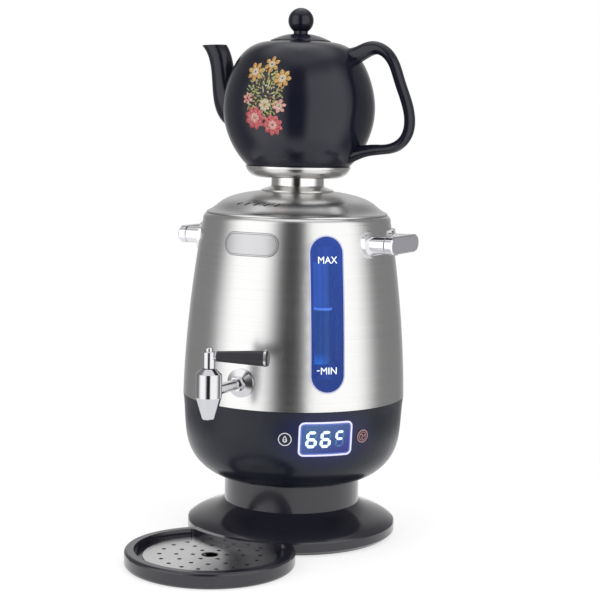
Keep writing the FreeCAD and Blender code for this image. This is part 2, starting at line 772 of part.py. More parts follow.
def display_module():
    start = BOARD_Y + BOARD_T
    return panel_box(MODULE_W, MODULE_H, DISPLAY_Z, start, start + MODULE_DEPTH)


def button(side):
    x = side * BUTTON_OFFSET
    back = -BOWL_WALL - GAP
    face = wrapped(BOWL, disc(BUTTON_R, PANEL_DEG, x, BUTTON_Z), BUTTON_PROUD, back)
    collar = wrapped(BOWL, disc(BUTTON_R + BUTTON_COLLAR, PANEL_DEG, x, BUTTON_Z), back, back - BUTTON_COLLAR)
    tip = BOARD_Y + BOARD_T + SWITCH_H + BUTTON_TRAVEL + FIT
    stem_end = math.sqrt(radius_at(BOWL, BUTTON_Z) ** 2 - BUTTON_OFFSET ** 2) - BOWL_WALL
    stem = panel_rod(BUTTON_STEM_R, x, BUTTON_Z, tip, stem_end)
    return fuse([face, collar, stem])


def tact_switches():
    start = BOARD_Y + BOARD_T
    end = start + SWITCH_H
    return Part.makeCompound([panel_box(SWITCH_SIZE, SWITCH_SIZE, BUTTON_Z, start, end, side * BUTTON_OFFSET)
                              for side in (-1, 1)])


def name_plate():
    outline = rounded(PLATE_W, PLATE_H, PLATE_H / 2, 0, PLATE_Z)
    return wrapped(TANK, outline, PLATE_T, 0.0)


# Side handles

def handle_ys():
    return (-HANDLE_SPACING / 2, HANDLE_SPACING / 2)


def handle_wall_x(y):
    """Distance along X of the tank's face behind a post."""
    return math.sqrt(radius_at(TANK, HANDLE_Z) ** 2 - y * y)


def handle_flanges(side):
    flanges = []
    for y in handle_ys():
        outline = rod(HANDLE_FLANGE_R, V(0, y, HANDLE_Z), V(side * 2 * SEAM_R, y, HANDLE_Z))
        ring = wrapped(TANK, outline, HANDLE_FLANGE_T, 0.0)
        flanges.append(ring.cut(rod(HANDLE_POST_R, V(0, y, HANDLE_Z), V(side * 2 * SEAM_R, y, HANDLE_Z))))
    return Part.makeCompound(flanges)


def handle_posts(side):
    end = HANDLE_FACE_X - HANDLE_GRIP_T
    inside = skin(TANK, 0.0, -SEAM_R / 2)
    posts = []
    for y in handle_ys():
        post = rod(HANDLE_POST_R, V(side * SEAM_R / 2, y, HANDLE_Z), V(side * end, y, HANDLE_Z)).cut(inside)
        hole = rod(HANDLE_SCREW_R, V(0, y, HANDLE_Z), V(side * (handle_wall_x(y) + HANDLE_SCREW_REACH), y, HANDLE_Z))
        posts += post.cut(hole).Solids
    return Part.makeCompound(posts)


def handle_grip(side):
    half = HANDLE_SPACING / 2
    r = HANDLE_GRIP_H / 2
    x0, x1 = HANDLE_FACE_X - HANDLE_GRIP_T, HANDLE_FACE_X
    edges = [Part.makeLine(V(x0, -half, HANDLE_Z - r), V(x0, half, HANDLE_Z - r)),
             Part.Arc(V(x0, half, HANDLE_Z - r), V(x0, half + r, HANDLE_Z), V(x0, half, HANDLE_Z + r)).toShape(),
             Part.makeLine(V(x0, half, HANDLE_Z + r), V(x0, -half, HANDLE_Z + r)),
             Part.Arc(V(x0, -half, HANDLE_Z + r), V(x0, -half - r, HANDLE_Z), V(x0, -half, HANDLE_Z - r)).toShape()]
    bar = Part.Face(Part.Wire(edges)).extrude(V(x1 - x0, 0, 0))
    bar = bar.makeChamfer(HANDLE_BEVEL, bar.Edges)
    return bar if side > 0 else bar.mirror(V(0, 0, 0), V(1, 0, 0))


def handle_screws():
    screws = []
    for side in (-1, 1):
        for y in handle_ys():
            inside = radius_inside(y)
            nut = hexagon(HANDLE_NUT_R, V(side * (inside - HANDLE_NUT_H), y, HANDLE_Z), V(side * inside, y, HANDLE_Z))
            shank = rod(HANDLE_SCREW_R, V(side * inside, y, HANDLE_Z),
                        V(side * (handle_wall_x(y) + HANDLE_SCREW_REACH), y, HANDLE_Z))
            screws.append(fuse([nut, shank]))
    return Part.makeCompound(screws)


def radius_inside(y):
    """Distance along X at which a flat nut clears the tank's curved inner wall."""
    reach = abs(y) + HANDLE_NUT_R
    return math.sqrt((radius_at(TANK, HANDLE_Z + HANDLE_NUT_R) - TANK_WALL) ** 2 - reach ** 2) - FIT


# Tap

def tap_face_y():
    return -radius_at(TANK, TAP_Z)


def tap_hole(r):
    """Cylinder along the tap's pipe."""
    return rod(r, V(0, 0, TAP_Z), V(0, -2 * SEAM_R, TAP_Z))


def tap_flange():
    front = tap_face_y() - TAP_FLANGE_T
    blank = wrapped(TANK, tap_hole(TAP_FLANGE_R), 2 * TAP_FLANGE_T, 0.0)
    dome = Part.makeCone(TAP_FLANGE_R + TAP_FLANGE_SLOPE, TAP_HEX_R, TAP_FLANGE_T,
                         V(0, front + TAP_FLANGE_T, TAP_Z), V(0, -1, 0))
    back = rod(TAP_FLANGE_R + TAP_FLANGE_SLOPE, V(0, 0, TAP_Z), V(0, front + TAP_FLANGE_T, TAP_Z))
    recess = wrapped(TANK, tap_hole(TAP_WASHER_R), TAP_WASHER_T, -TANK_WALL)
    return blank.common(dome.fuse(back)).cut(recess).cut(tap_hole(TAP_PIPE_R + FIT))


def tap_washers():
    ring = tap_hole(TAP_WASHER_R).cut(tap_hole(TAP_PIPE_R))
    outer = wrapped(TANK, ring, TAP_WASHER_T, 0.0)
    inner = wrapped(TANK, ring, -TANK_WALL, -TANK_WALL - 2 * TAP_WASHER_T)
    return Part.makeCompound([outer, inner])


def tap_hex_nut():
    front = tap_face_y() - TAP_FLANGE_T
    nut = hexagon(TAP_HEX_R, V(0, front, TAP_Z), V(0, front - TAP_HEX_H, TAP_Z))
    return nut.cut(tap_hole(TAP_PIPE_R))


def tap_nut_y():
    """The flat nut clears the curved washer at its corners."""
    inside = radius_at(TANK, TAP_Z + TAP_HEX_R) - TANK_WALL - 2 * TAP_WASHER_T
    return FIT - math.sqrt(inside ** 2 - TAP_HEX_R ** 2)


def tap_inner_nut():
    face = tap_nut_y()
    nut = hexagon(TAP_HEX_R, V(0, face, TAP_Z), V(0, face + TAP_NUT_H, TAP_Z))
    return nut.cut(tap_hole(TAP_PIPE_R))


def tap_pipe_end():
    """Where the pipe stops inside the barrel's wall."""
    return V(0, TAP_Y + PLUG_R + RUN + PIPE_SEAT, TAP_Z)


def tap_pipe():
    start = V(0, tap_nut_y() + TAP_NUT_H + LIP, TAP_Z)
    return rod(TAP_PIPE_R, start, tap_pipe_end()).cut(rod(TAP_PIPE_BORE_R, start, tap_pipe_end()))


def at_tap(shape):
    return shape.translate(V(0, TAP_Y, 0))


def tap_barrel():
    barrel = turned([(OUTLET_BORE_R, BARREL_BOTTOM_Z), (BARREL_TIP_R - EDGE, BARREL_BOTTOM_Z),
                     (BARREL_TIP_R, BARREL_BOTTOM_Z + EDGE), (BARREL_R, BARREL_TAPER_Z),
                     (BARREL_R, BARREL_TOP_Z), (PLUG_R + RUN, BARREL_TOP_Z), (PLUG_R + RUN, BARREL_FLOOR_Z),
                     (OUTLET_BORE_R, BARREL_FLOOR_Z)])
    barrel = at_tap(barrel)
    socket = rod(TAP_PIPE_R, tap_pipe_end(), V(0, 0, TAP_Z))
    port = rod(TAP_PIPE_BORE_R, V(0, TAP_Y + PLUG_R - OVER, TAP_Z), V(0, 0, TAP_Z))
    return barrel.cut(socket).cut(port)


def tap_bonnet():
    low = PLUG_TOP_Z + END_PLAY
    bonnet = turned([(STEM_R + RUN, low), (PLUG_R + RUN, low), (PLUG_R + RUN, BARREL_TOP_Z),
                     (BARREL_R, BARREL_TOP_Z), (BARREL_R - EDGE, BARREL_TOP_Z + EDGE), (BONNET_TOP_R, BONNET_TOP_Z),
                     (STEM_R + RUN, BONNET_TOP_Z)])
    return at_tap(bonnet)


def tap_plug():
    low = BARREL_FLOOR_Z + END_PLAY
    plug = turned([(0, low), (PLUG_R, low), (PLUG_R, PLUG_TOP_Z), (STEM_R, PLUG_TOP_Z), (STEM_R, STEM_TOP_Z),
                   (0, STEM_TOP_Z)])
    plug = plug.cut(Part.makeCylinder(TAP_PIPE_BORE_R, TAP_Z - BARREL_FLOOR_Z + OVER, V(0, 0, BARREL_FLOOR_Z)))
    plug = plug.cut(rod(TAP_PIPE_BORE_R, V(0, 0, TAP_Z), V(-2 * PLUG_R, 0, TAP_Z)))
    return at_tap(plug)


def tap_lever():
    low = BONNET_TOP_Z + 2 * END_PLAY
    hub = turned([(STEM_R, low), (HUB_R - EDGE, low), (HUB_R, low + EDGE), (HUB_R, HUB_TOP_Z - EDGE),
                  (HUB_R - EDGE, HUB_TOP_Z), (0, HUB_TOP_Z), (0, STEM_TOP_Z), (STEM_R, STEM_TOP_Z)])
    bar = rod(LEVER_ROD_R, V(0, 0, LEVER_Z), V(GRIP_END_X, 0, LEVER_Z))
    collar = rod(LEVER_COLLAR_R, V(0, 0, LEVER_Z), V(GRIP_START_X, 0, LEVER_Z))
    stem = Part.makeCylinder(STEM_R, STEM_TOP_Z - PLUG_TOP_Z, V(0, 0, PLUG_TOP_Z))
    return at_tap(fuse([hub, bar, collar]).cut(stem).rotated(V(0, 0, 0), UP, LEVER_DEG))


def lever_cap_nut():
    top = HUB_TOP_Z + HUB_CAP_H
    return at_tap(turned([(0, HUB_TOP_Z), (HUB_CAP_R, HUB_TOP_Z), (HUB_CAP_R, top - EDGE), (HUB_CAP_R - EDGE, top),
                          (0, top)]))


def lever_part(shape):
    return at_tap(shape.rotated(V(0, 0, 0), UP, LEVER_DEG).translated(V(0, 0, LEVER_Z)))


def lever_grip():
    length = GRIP_END_X - GRIP_START_X
    grip = Part.makeCone(GRIP_START_R, GRIP_END_R, length, V(GRIP_START_X, 0, 0), V(1, 0, 0))
    return lever_part(grip.cut(rod(LEVER_ROD_R, V(0, 0, 0), V(GRIP_END_X, 0, 0))))


def lever_ring():
    ring = rod(GRIP_END_R + GRIP_RING_STEP, V(GRIP_END_X, 0, 0), V(GRIP_END_X + GRIP_RING_T, 0, 0))
    return lever_part(ring)


def lever_end_cap():
    start = GRIP_END_X + GRIP_RING_T
    return lever_part(Part.makeCone(GRIP_END_R, GRIP_END_R - EDGE, GRIP_CAP_T, V(start, 0, 0), V(1, 0, 0)))


# Samovar lid with neck and dish

def samovar_lid():
    bottom = RIM_Z + GAP
    under = spline(inset_points(LID, 9, LID_T))
    lid = turned([(RIM_R, bottom), (RIM_R, bottom + LID_RIM_H), LID, (NECK_SLEEVE_R, LID_TOP_Z),
                  (NECK_SLEEVE_R, LID_TOP_Z - LID_T), (LID_TOP_R, LID_TOP_Z - LID_T), under,
                  (RIM_R - LID_SEAT_W, bottom)])
    for i in range(VENT_COUNT):
        angle = VENT_MID_DEG + (i - (VENT_COUNT - 1) / 2) * VENT_PITCH_DEG
        lid = lid.cut(vent_cutter(angle))
    return lid


def vent_cutter(angle):
    """Slanted slot through the lid."""
    r = VENT_WIDTH / 2
    half = VENT_LENGTH / 2 - r
    depth = LID_TOP_Z - RIM_Z
    slot = fuse([Part.makeCylinder(r, depth, V(-half, 0, 0)), Part.makeCylinder(r, depth, V(half, 0, 0)),
                 Part.makeBox(2 * half, 2 * r, depth, V(-half, -r, 0))])
    slot.rotate(V(0, 0, 0), UP, VENT_SLANT_DEG)
    slot.translate(V(0, -VENT_R, RIM_Z))
    slot.rotate(V(0, 0, 0), UP, angle)
    return slot


def lid_skirt():
    bottom = RIM_Z + GAP
    top = bottom + LID_FLANGE_T
    flange = tube(RIM_R - LID_SEAT_W - FIT, LID_SKIRT_R - LID_T, bottom, top)
    return fuse([flange, tube(LID_SKIRT_R, LID_SKIRT_R - LID_T, RIM_Z - LID_SKIRT_H, top)])


def lid_gasket():
    z = RIM_Z - LID_GASKET_DROP
    return tube(MOUTH_R - GAP, LID_SKIRT_R, z, z + LID_GASKET_H)


def neck_collar():
    sleeve_end = LID_TOP_Z - LID_T - NECK_NUT_H - NECK_EDGE_W
    cone_top = LID_TOP_Z + NECK_CONE_H
    return turned([(NECK_BORE_R, sleeve_end), (NECK_SLEEVE_R, sleeve_end), (NECK_SLEEVE_R, LID_TOP_Z),
                   (LID_TOP_R, LID_TOP_Z), (LID_TOP_R - NECK_EDGE_W, LID_TOP_Z + NECK_EDGE_H),
                   (NECK_R + NECK_EDGE_W, cone_top), (NECK_R, cone_top + NECK_EDGE_H), (NECK_R, NECK_TOP_Z),
                   (NECK_BORE_R, NECK_TOP_Z)])


def neck_nut():
    top = LID_TOP_Z - LID_T
    return tube(NECK_NUT_R, NECK_SLEEVE_R, top - NECK_NUT_H, top)


def teapot_dish():
    curve = spline([(DISH_FLOOR_R, NECK_TOP_Z), (DISH_KNEE_R, DISH_KNEE_Z), (DISH_RIM_R, DISH_RIM_Z)])
    inner = spline(inset_points(curve, 7, DISH_T))
    return turned([(DISH_HOLE_R, NECK_TOP_Z), curve, inner, (DISH_HOLE_R, NECK_TOP_Z + DISH_T)])


# Teapot

def pot_outside():
    foot = spline([(POT_FOOT_R, POT_FOOT_Z), (POT_LOW_R - POT_HEEL_W, POT_FOOT_Z + POT_HEEL_H),
                   (POT_LOW_R, POT_LOW_Z)])
    return turned([(0, POT_FOOT_Z), foot, POT, (0, POT_TOP_Z)])


def pot_inside():
    points = inset_points(POT, 11, POT_WALL)
    wall = spline(points)
    top = points[-1]
    return turned([(0, POT_FLOOR_Z), (POT_LOW_R - 2 * POT_WALL, POT_FLOOR_Z), wall, (0, top[1])])


def pot_mouth():
    throat = Part.makeCylinder(POT_MOUTH_R, POT_TOP_Z + OVER - POT_HIGH_Z, V(0, 0, POT_HIGH_Z))
    seat = Part.makeCylinder(TEA_LID_R + GAP, TEA_LID_SINK + OVER, V(0, 0, POT_TOP_Z - TEA_LID_SINK))
    return throat.fuse(seat)


def oval_wire(centre, along, across):
    """Oval of four arcs round a centre, from the vectors to its ends and sides."""
    def at(u):
        return centre + along * math.cos(u) + across * math.sin(u)

    quarter = math.pi / 2
    return Part.Wire([Part.Arc(at(i * quarter), at((i + 0.5) * quarter), at((i + 1) * quarter)).toShape()
                      for i in range(4)])


def oval(section, shrink, rise=0.0):
    """Oval wire across the spout, tilted in the XZ plane."""
    out, height, half_length, half_width, tilt = section
    lean = math.radians(tilt)
    along = V(math.cos(lean), 0, -math.sin(lean)) * (half_length - shrink)
    return oval_wire(V(-POT_R - out, 0, POT_FOOT_Z + height + rise), along, V(0, half_width - shrink, 0))


def spout(shrink):
    return Part.makeLoft([oval(section, shrink) for section in SPOUT], True, False)


def spout_bore():
    """The inside of the spout, and its opening carried on past the tip."""
    tip = SPOUT[-1]
    return [spout(SPOUT_WALL), Part.makeLoft([oval(tip, SPOUT_WALL), oval(tip, SPOUT_WALL, 4 * OVER)], True, True)]


def strainer_holes():
    """Holes through the pot's wall into the spout, one ringed by six."""
    holes = []
    for i in range(7):
        spread = STRAINER_PITCH if i else 0.0
        y = spread * math.cos(math.radians(60 * i))
        z = STRAINER_Z + spread * math.sin(math.radians(60 * i))
        holes.append(rod(STRAINER_HOLE_R, V(-POT_R + 3 * POT_WALL, y, z), V(-POT_R - OVER, y, z)))
    return holes


def grip_bar():
    """The teapot's handle, an oval bar along a smooth path, thicker at its two roots."""
    path = spline([(POT_R + out, POT_FOOT_Z + height) for out, height, _ in GRIP_PATH])
    places = [path.parameter(V(POT_R + out, 0, POT_FOOT_Z + height)) for out, height, _ in GRIP_PATH]
    sections = []
    for i in range(GRIP_SECTIONS):
        u = path.parameterAtDistance(path.length() * i / (GRIP_SECTIONS - 1), path.FirstParameter)
        k = max(n for n in range(len(places) - 1) if places[n] <= u + 1e-6 or n == 0)
        share = (u - places[k]) / (places[k + 1] - places[k])
        thick = GRIP_PATH[k][2] * (1 - share) + GRIP_PATH[k + 1][2] * share
        out = path.tangent(u)[0].cross(V(0, 1, 0))
        sections.append(oval_wire(path.value(u), out * (thick / 2), V(0, GRIP_BAR_W / 2, 0)))
    return Part.makeLoft(sections, True, False)


def teapot_body():
    outside = pot_outside()
    body = fuse([outside, spout(0.0), grip_bar()])
    for bore in spout_bore():
        body = body.cut(bore.cut(outside))
    body = body.cut(pot_inside()).cut(pot_mouth())
    for hole in strainer_holes():
        body = body.cut(hole)
    return body


def teapot_lid():
    seat = POT_TOP_Z - TEA_LID_SINK + GAP
    top = seat + TEA_LID_T
    skirt_r = POT_MOUTH_R - GAP
    skirt_low = seat - TEA_LID_SKIRT_H
    shoulder = spline([(TEA_LID_R, top - TEA_LID_EDGE_H), (TEA_LID_R - TEA_LID_EDGE_W, top),
                       (TEA_LID_WAIST_R, top + TEA_LID_WAIST_H), (KNOB_NECK_R, top + TEA_LID_DOME_H)])
    ball_low = KNOB_Z - math.sqrt(KNOB_R ** 2 - KNOB_NECK_R ** 2)
    ball = Part.Arc(V(KNOB_NECK_R, 0, ball_low), V(KNOB_R, 0, KNOB_Z), V(0, 0, KNOB_Z + KNOB_R))
    return turned([(0, seat), (skirt_r - TEA_LID_SKIRT_T, seat), (skirt_r - TEA_LID_SKIRT_T, skirt_low),
                   (skirt_r, skirt_low), (skirt_r, seat), (TEA_LID_R, seat), shoulder, ball])


# Drip tray

def tray_blank(r, bite, z0, z1, corner):
    """Round block with a concave back round the samovar's base, its two corners rounded."""
    away = -TRAY_Y
    # The corner's circle touches the round outline inside and the bite outside.
    near, far = r - corner, bite + corner
    y = -(away ** 2 + far ** 2 - near ** 2) / (2 * away)
    x = math.sqrt(far ** 2 - y ** 2)

    def spots(side):
        centre = V(side * x, y, z0)
        tray = V(0, TRAY_Y, z0)
        outer = tray + (centre - tray).normalize() * r
        inner = V(0, 0, z0) + (centre - V(0, 0, z0)).normalize() * bite
        tip = centre + ((outer - centre).normalize() + (inner - centre).normalize()).normalize() * corner
        return outer, tip, inner

    left, right = spots(-1), spots(1)
    edges = [Part.Arc(left[0], V(0, TRAY_Y - r, z0), right[0]).toShape(),
             Part.Arc(right[0], right[1], right[2]).toShape(),
             Part.Arc(right[2], V(0, -bite, z0), left[2]).toShape(),
             Part.Arc(left[2], left[1], left[0]).toShape()]
    return Part.Face(Part.Wire(edges)).extrude(V(0, 0, z1 - z0))


def drip_tray():
    body = tray_blank(TRAY_R, BASE_R + GAP, 0, TRAY_H, TRAY_CORNER)
    for z, size in ((TRAY_H, TRAY_EDGE), (0.0, TRAY_FOOT_EDGE)):
        body = body.makeFillet(size, [e for e in body.Edges if all(abs(v.Z - z) < 1e-6 for v in e.Vertexes)])
    bite = BASE_R + GAP + TRAY_RIM_W
    corner = TRAY_CORNER - LIP
    recess = tray_blank(TRAY_R - TRAY_RIM_W, bite, PLATE_SEAT_Z, TRAY_H, corner)
    sump = tray_blank(DRIP_PLATE_R - LIP, bite + GAP + LIP, TRAY_FLOOR_T, PLATE_SEAT_Z, corner)
    return body.cut(recess).cut(sump).rotated(V(0, 0, 0), UP, TRAY_DEG)


def drip_plate():
    z = PLATE_SEAT_Z
    sheet = tray_blank(DRIP_PLATE_R, BASE_R + 2 * GAP + TRAY_RIM_W, z, z + DRIP_PLATE_T, TRAY_CORNER - LIP)
    centre = V(0, TRAY_Y, z)
    sheet = sheet.cut(Part.makeCylinder(DRIP_CENTRE_HOLE_R, DRIP_PLATE_T, centre))
    for ring in range(1, DRIP_RINGS + 1):
        for i in range(DRIP_HOLES_PER_RING * ring):
            spoke = direction(360 * i / (DRIP_HOLES_PER_RING * ring)) * (DRIP_RING_PITCH * ring)
            sheet = sheet.cut(Part.makeCylinder(DRIP_HOLE_R, DRIP_PLATE_T, centre + spoke))
    return sheet.rotated(V(0, 0, 0), UP, TRAY_DEG)


NODES = {
    "pedestal_base": pedestal_base,
    "bottom_cover": bottom_cover,
    "rubber_feet": rubber_feet,
    "lower_housing": lower_housing,
    "power_inlet": power_inlet,
    "inlet_pins": inlet_pins,
    "tank_shell": tank_shell,
    "tank_floor": tank_floor,
    "seam_seal": seam_seal,
    "heater_plate": heater_plate,
    "heating_element": heating_element,
    "thermostat": lambda: under_plate(60, SENSOR_R, SENSOR_H),
    "thermal_cutout": lambda: under_plate(180, SENSOR_R, SENSOR_H),
    "temperature_sensor": lambda: under_plate(300, SENSOR_R / 2, 2 * SENSOR_H),
    "tank_studs": tank_studs,
    "stud_nuts": stud_nuts,
    "gauge_window": gauge_window,
    "gauge_gasket": gauge_gasket,
    "gauge_housing": gauge_housing,
    "level_tube": level_tube,
    "tube_caps": tube_caps,
    "gauge_led_strip": gauge_led_strip,
    "display_window": display_window,
    "display_module": display_module,
    "control_board": control_board,
    "board_screws": board_screws,
    "left_button": lambda: button(-1),
    "right_button": lambda: button(1),
    "tact_switches": tact_switches,
    "name_plate": name_plate,
    "left_handle_flanges": lambda: handle_flanges(-1),
    "left_handle_posts": lambda: handle_posts(-1),
    "left_handle_grip": lambda: handle_grip(-1),
    "right_handle_flanges": lambda: handle_flanges(1),
    "right_handle_posts": lambda: handle_posts(1),
    "right_handle_grip": lambda: handle_grip(1),
    "handle_screws": handle_screws,
    "tap_flange": tap_flange,
    "tap_washers": tap_washers,
    "tap_hex_nut": tap_hex_nut,
    "tap_inner_nut": tap_inner_nut,
    "tap_pipe": tap_pipe,
    "tap_barrel": tap_barrel,
    "tap_bonnet": tap_bonnet,
    "tap_plug": tap_plug,
    "tap_lever": tap_lever,
    "lever_cap_nut": lever_cap_nut,
    "lever_grip": lever_grip,
    "lever_ring": lever_ring,
    "lever_end_cap": lever_end_cap,
    "samovar_lid": samovar_lid,
    "lid_skirt": lid_skirt,
    "lid_gasket": lid_gasket,
    "neck_collar": neck_collar,
    "neck_nut": neck_nut,
    "teapot_dish": teapot_dish,
    "teapot_body": teapot_body,
    "teapot_lid": teapot_lid,
    "drip_tray": drip_tray,
    "drip_plate": drip_plate,
}

os.makedirs("parts", exist_ok=True)
for name, make in NODES.items():
    shape = make()
    if not shape.isValid() or not shape.Solids:
        print("bad", name)
    shape.exportStep("parts/" + name + ".step")
    print(name, len(shape.Solids), round(shape.Volume))
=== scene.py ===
import math
import random

import bmesh
import bpy
import numpy as np
from mathutils import Matrix, Vector


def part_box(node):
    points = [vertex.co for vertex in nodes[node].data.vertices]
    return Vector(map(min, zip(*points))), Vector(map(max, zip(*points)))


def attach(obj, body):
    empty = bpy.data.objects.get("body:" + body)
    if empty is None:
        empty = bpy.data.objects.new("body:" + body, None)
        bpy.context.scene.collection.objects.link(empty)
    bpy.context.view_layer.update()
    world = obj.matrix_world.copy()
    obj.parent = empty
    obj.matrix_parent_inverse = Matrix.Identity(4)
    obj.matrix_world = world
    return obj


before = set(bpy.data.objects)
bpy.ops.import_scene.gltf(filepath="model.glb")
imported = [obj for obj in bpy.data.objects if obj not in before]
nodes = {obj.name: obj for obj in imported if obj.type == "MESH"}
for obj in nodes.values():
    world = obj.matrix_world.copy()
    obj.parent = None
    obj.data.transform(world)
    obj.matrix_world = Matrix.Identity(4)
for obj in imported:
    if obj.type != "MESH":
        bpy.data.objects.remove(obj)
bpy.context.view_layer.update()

MM = 0.001
VIEW_DEG = 27.0            # the photograph's side of the object, from -Y towards +X
CAMERA_DISTANCE = 1.5
CAMERA_HEIGHT = 0.410
CAMERA_PITCH = 6.716
CAMERA_ROLL = 1.194
CAMERA_YAW = 0.178
CAMERA_LENS = 91.08
PANEL_DEG = 44.0           # gauge, display and buttons face this way
BADGE_DEG = 0.0
GAUGE_WIDTH = 32.4         # millimetres
VENT_DEG = -4.2            # middle of the row of vents
VENT_HALF_DEG = 24.0
VENT_RING = 0.74           # radius as a share of the lid's, plus a step outward in metres
VENT_OUT = 0.0079
VENT_DEPTH = 0.0004
VENT_STEPS = 96
POT_PRINT_Z = 0.4325       # middle of the teapot's print
LEAF_COUNT = 150
LEAF_REACH = 24.0          # millimetres
GOLDEN_DEG = 137.5
BERRY_COUNT = 30
WHITE = (1.0, 1.0, 1.0)


# Small helpers for shader nodes

class Shader:
    """A new node material with a Principled shader, and short calls to add nodes to it."""

    def __init__(self, name):
        self.material = bpy.data.materials.new(name)
        self.material.use_nodes = True
        self.tree = self.material.node_tree
        self.principled = self.tree.nodes["Principled BSDF"]

    def node(self, kind, **inputs):
        made = self.tree.nodes.new(kind)
        for key, value in inputs.items():
            self.put(made, key, value)
        return made

    def put(self, made, key, value):
        name = key.replace("_", " ")
        socket = made.inputs[int(key[1:])] if key[0] == "i" and key[1:].isdigit() else made.inputs[name]
        if isinstance(value, bpy.types.NodeSocket):
            self.tree.links.new(value, socket)
        elif hasattr(socket.default_value, "__len__") and not isinstance(value, (int, float)):
            full = tuple(value)
            if len(socket.default_value) == 4 and len(full) == 3:
                full += (1.0,)
            socket.default_value = full
        else:
            socket.default_value = value

    def set(self, **inputs):
        for key, value in inputs.items():
            self.put(self.principled, key, value)
        return self

    def math(self, operation, a, b=0.0):
        made = self.tree.nodes.new("ShaderNodeMath")
        made.operation = operation
        self.put(made, "i0", a)
        self.put(made, "i1", b)
        return made.outputs[0]

    def smooth(self, value, low, high, out_low=0.0, out_high=1.0):
        made = self.tree.nodes.new("ShaderNodeMapRange")
        made.interpolation_type = "SMOOTHSTEP"
        self.put(made, "Value", value)
        for key, number in (("From Min", low), ("From Max", high), ("To Min", out_low), ("To Max", out_high)):
            made.inputs[key].default_value = number
        return made.outputs["Result"]

    def mix(self, factor, a, b):
        made = self.tree.nodes.new("ShaderNodeMix")
        made.data_type = "RGBA"
        self.put(made, "i0", factor)
        self.put(made, "i6", a)
        self.put(made, "i7", b)
        return made.outputs[2]

    def place(self):
        """Object coordinates, the same as the part's own frame, in metres."""
        return self.tree.nodes.new("ShaderNodeTexCoord").outputs["Object"]

    def parts(self, vector):
        made = self.tree.nodes.new("ShaderNodeSeparateXYZ")
        self.put(made, "i0", vector)
        return made.outputs

    def joined(self, x, y, z):
        made = self.tree.nodes.new("ShaderNodeCombineXYZ")
        for key, value in (("i0", x), ("i1", y), ("i2", z)):
            self.put(made, key, value)
        return made.outputs[0]

    def noise(self, vector, scale, detail=2.0, rough=0.5):
        made = self.node("ShaderNodeTexNoise", Vector=vector, Scale=scale, Detail=detail, Roughness=rough)
        return made.outputs["Fac"]

    def bump(self, height, strength, distance):
        made = self.node("ShaderNodeBump", Height=height, Strength=strength, Distance=distance)
        self.put(self.principled, "Normal", made.outputs["Normal"])

    def radius(self):
        x, y, _ = self.parts(self.place())
        return self.math("SQRT", self.math("ADD", self.math("MULTIPLY", x, x), self.math("MULTIPLY", y, y)))


def vary(shader, colour, amount, scale):
    """Base colour with a little soft variation."""
    dark = tuple(c * (1 - amount) for c in colour)
    light = tuple(min(1.0, c * (1 + amount)) for c in colour)
    shader.set(Base_Color=shader.mix(shader.noise(shader.place(), scale, 3.0), dark, light))


def give(material, *names):
    for name in names:
        mesh = nodes[name].data
        mesh.materials.clear()
        mesh.materials.append(material)


# Metals

def brushed_steel(name, colour, roughness, around, strength):
    """Brushed steel. Its lines run round the axis on an upright wall, or in rings on a lid."""
    s = Shader(name)
    x, y, z = s.parts(s.place())
    if around == "wall":
        lines = s.joined(s.math("MULTIPLY", x, 6.0), s.math("MULTIPLY", y, 6.0), s.math("MULTIPLY", z, 1500.0))
    elif around == "rings":
        lines = s.joined(s.math("MULTIPLY", s.radius(), 1600.0), 0.0, s.math("MULTIPLY", z, 30.0))
    else:
        lines = s.joined(s.math("MULTIPLY", x, 1200.0), s.math("MULTIPLY", y, 20.0), s.math("MULTIPLY", z, 20.0))
    grain = s.noise(lines, 1.0, 4.0, 0.65)
    cloud = s.noise(s.place(), 14.0, 2.0)
    s.set(Metallic=1.0)
    s.set(Base_Color=s.mix(grain, tuple(c * 0.90 for c in colour), tuple(min(1.0, c * 1.08) for c in colour)))
    s.set(Roughness=s.math("ADD", roughness - 0.04, s.math("ADD", s.math("MULTIPLY", grain, 0.07),
                                                            s.math("MULTIPLY", cloud, 0.04))))
    s.bump(grain, strength, 0.0002)
    return s.material


def polished(name, colour, roughness):
    s = Shader(name)
    vary(s, colour, 0.03, 40.0)
    haze = s.noise(s.place(), 90.0, 3.0)
    s.set(Metallic=1.0, Roughness=s.math("ADD", roughness, s.math("MULTIPLY", haze, 0.04)))
    s.bump(haze, 0.02, 0.0002)
    return s.material


def grip_metal():
    """Flat satin face with polished edges, told apart by the way the surface faces."""
    s = Shader("grip_satin")
    normal = s.tree.nodes.new("ShaderNodeNewGeometry").outputs["True Normal"]
    face = s.smooth(s.math("ABSOLUTE", s.parts(normal)[0]), 0.93, 0.97)
    x, y, z = s.parts(s.place())
    lines = s.joined(s.math("MULTIPLY", x, 20.0), s.math("MULTIPLY", y, 40.0), s.math("MULTIPLY", z, 1500.0))
    grain = s.noise(lines, 1.0, 3.0)
    s.set(Metallic=1.0, Base_Color=s.mix(face, (0.74, 0.74, 0.78), (0.93, 0.93, 1.0)))
    satin = s.math("ADD", 0.24, s.math("MULTIPLY", grain, 0.1))
    s.set(Roughness=s.math("ADD", 0.08, s.math("MULTIPLY", face, satin)))
    s.bump(grain, 0.03, 0.0002)
    return s.material


# Plastics, rubber and ceramic

def plastic(name, colour, roughness, grain_scale=900.0, grain=0.02, coat=0.0):
    s = Shader(name)
    vary(s, colour, 0.12, 30.0)
    skin = s.noise(s.place(), grain_scale, 3.0)
    smear = s.noise(s.place(), 18.0, 3.0)
    s.set(Roughness=s.math("ADD", roughness - 0.03, s.math("MULTIPLY", smear, 0.08)))
    s.set(Coat_Weight=coat, Coat_Roughness=0.06)
    s.bump(skin, grain, 0.0002)
    return s


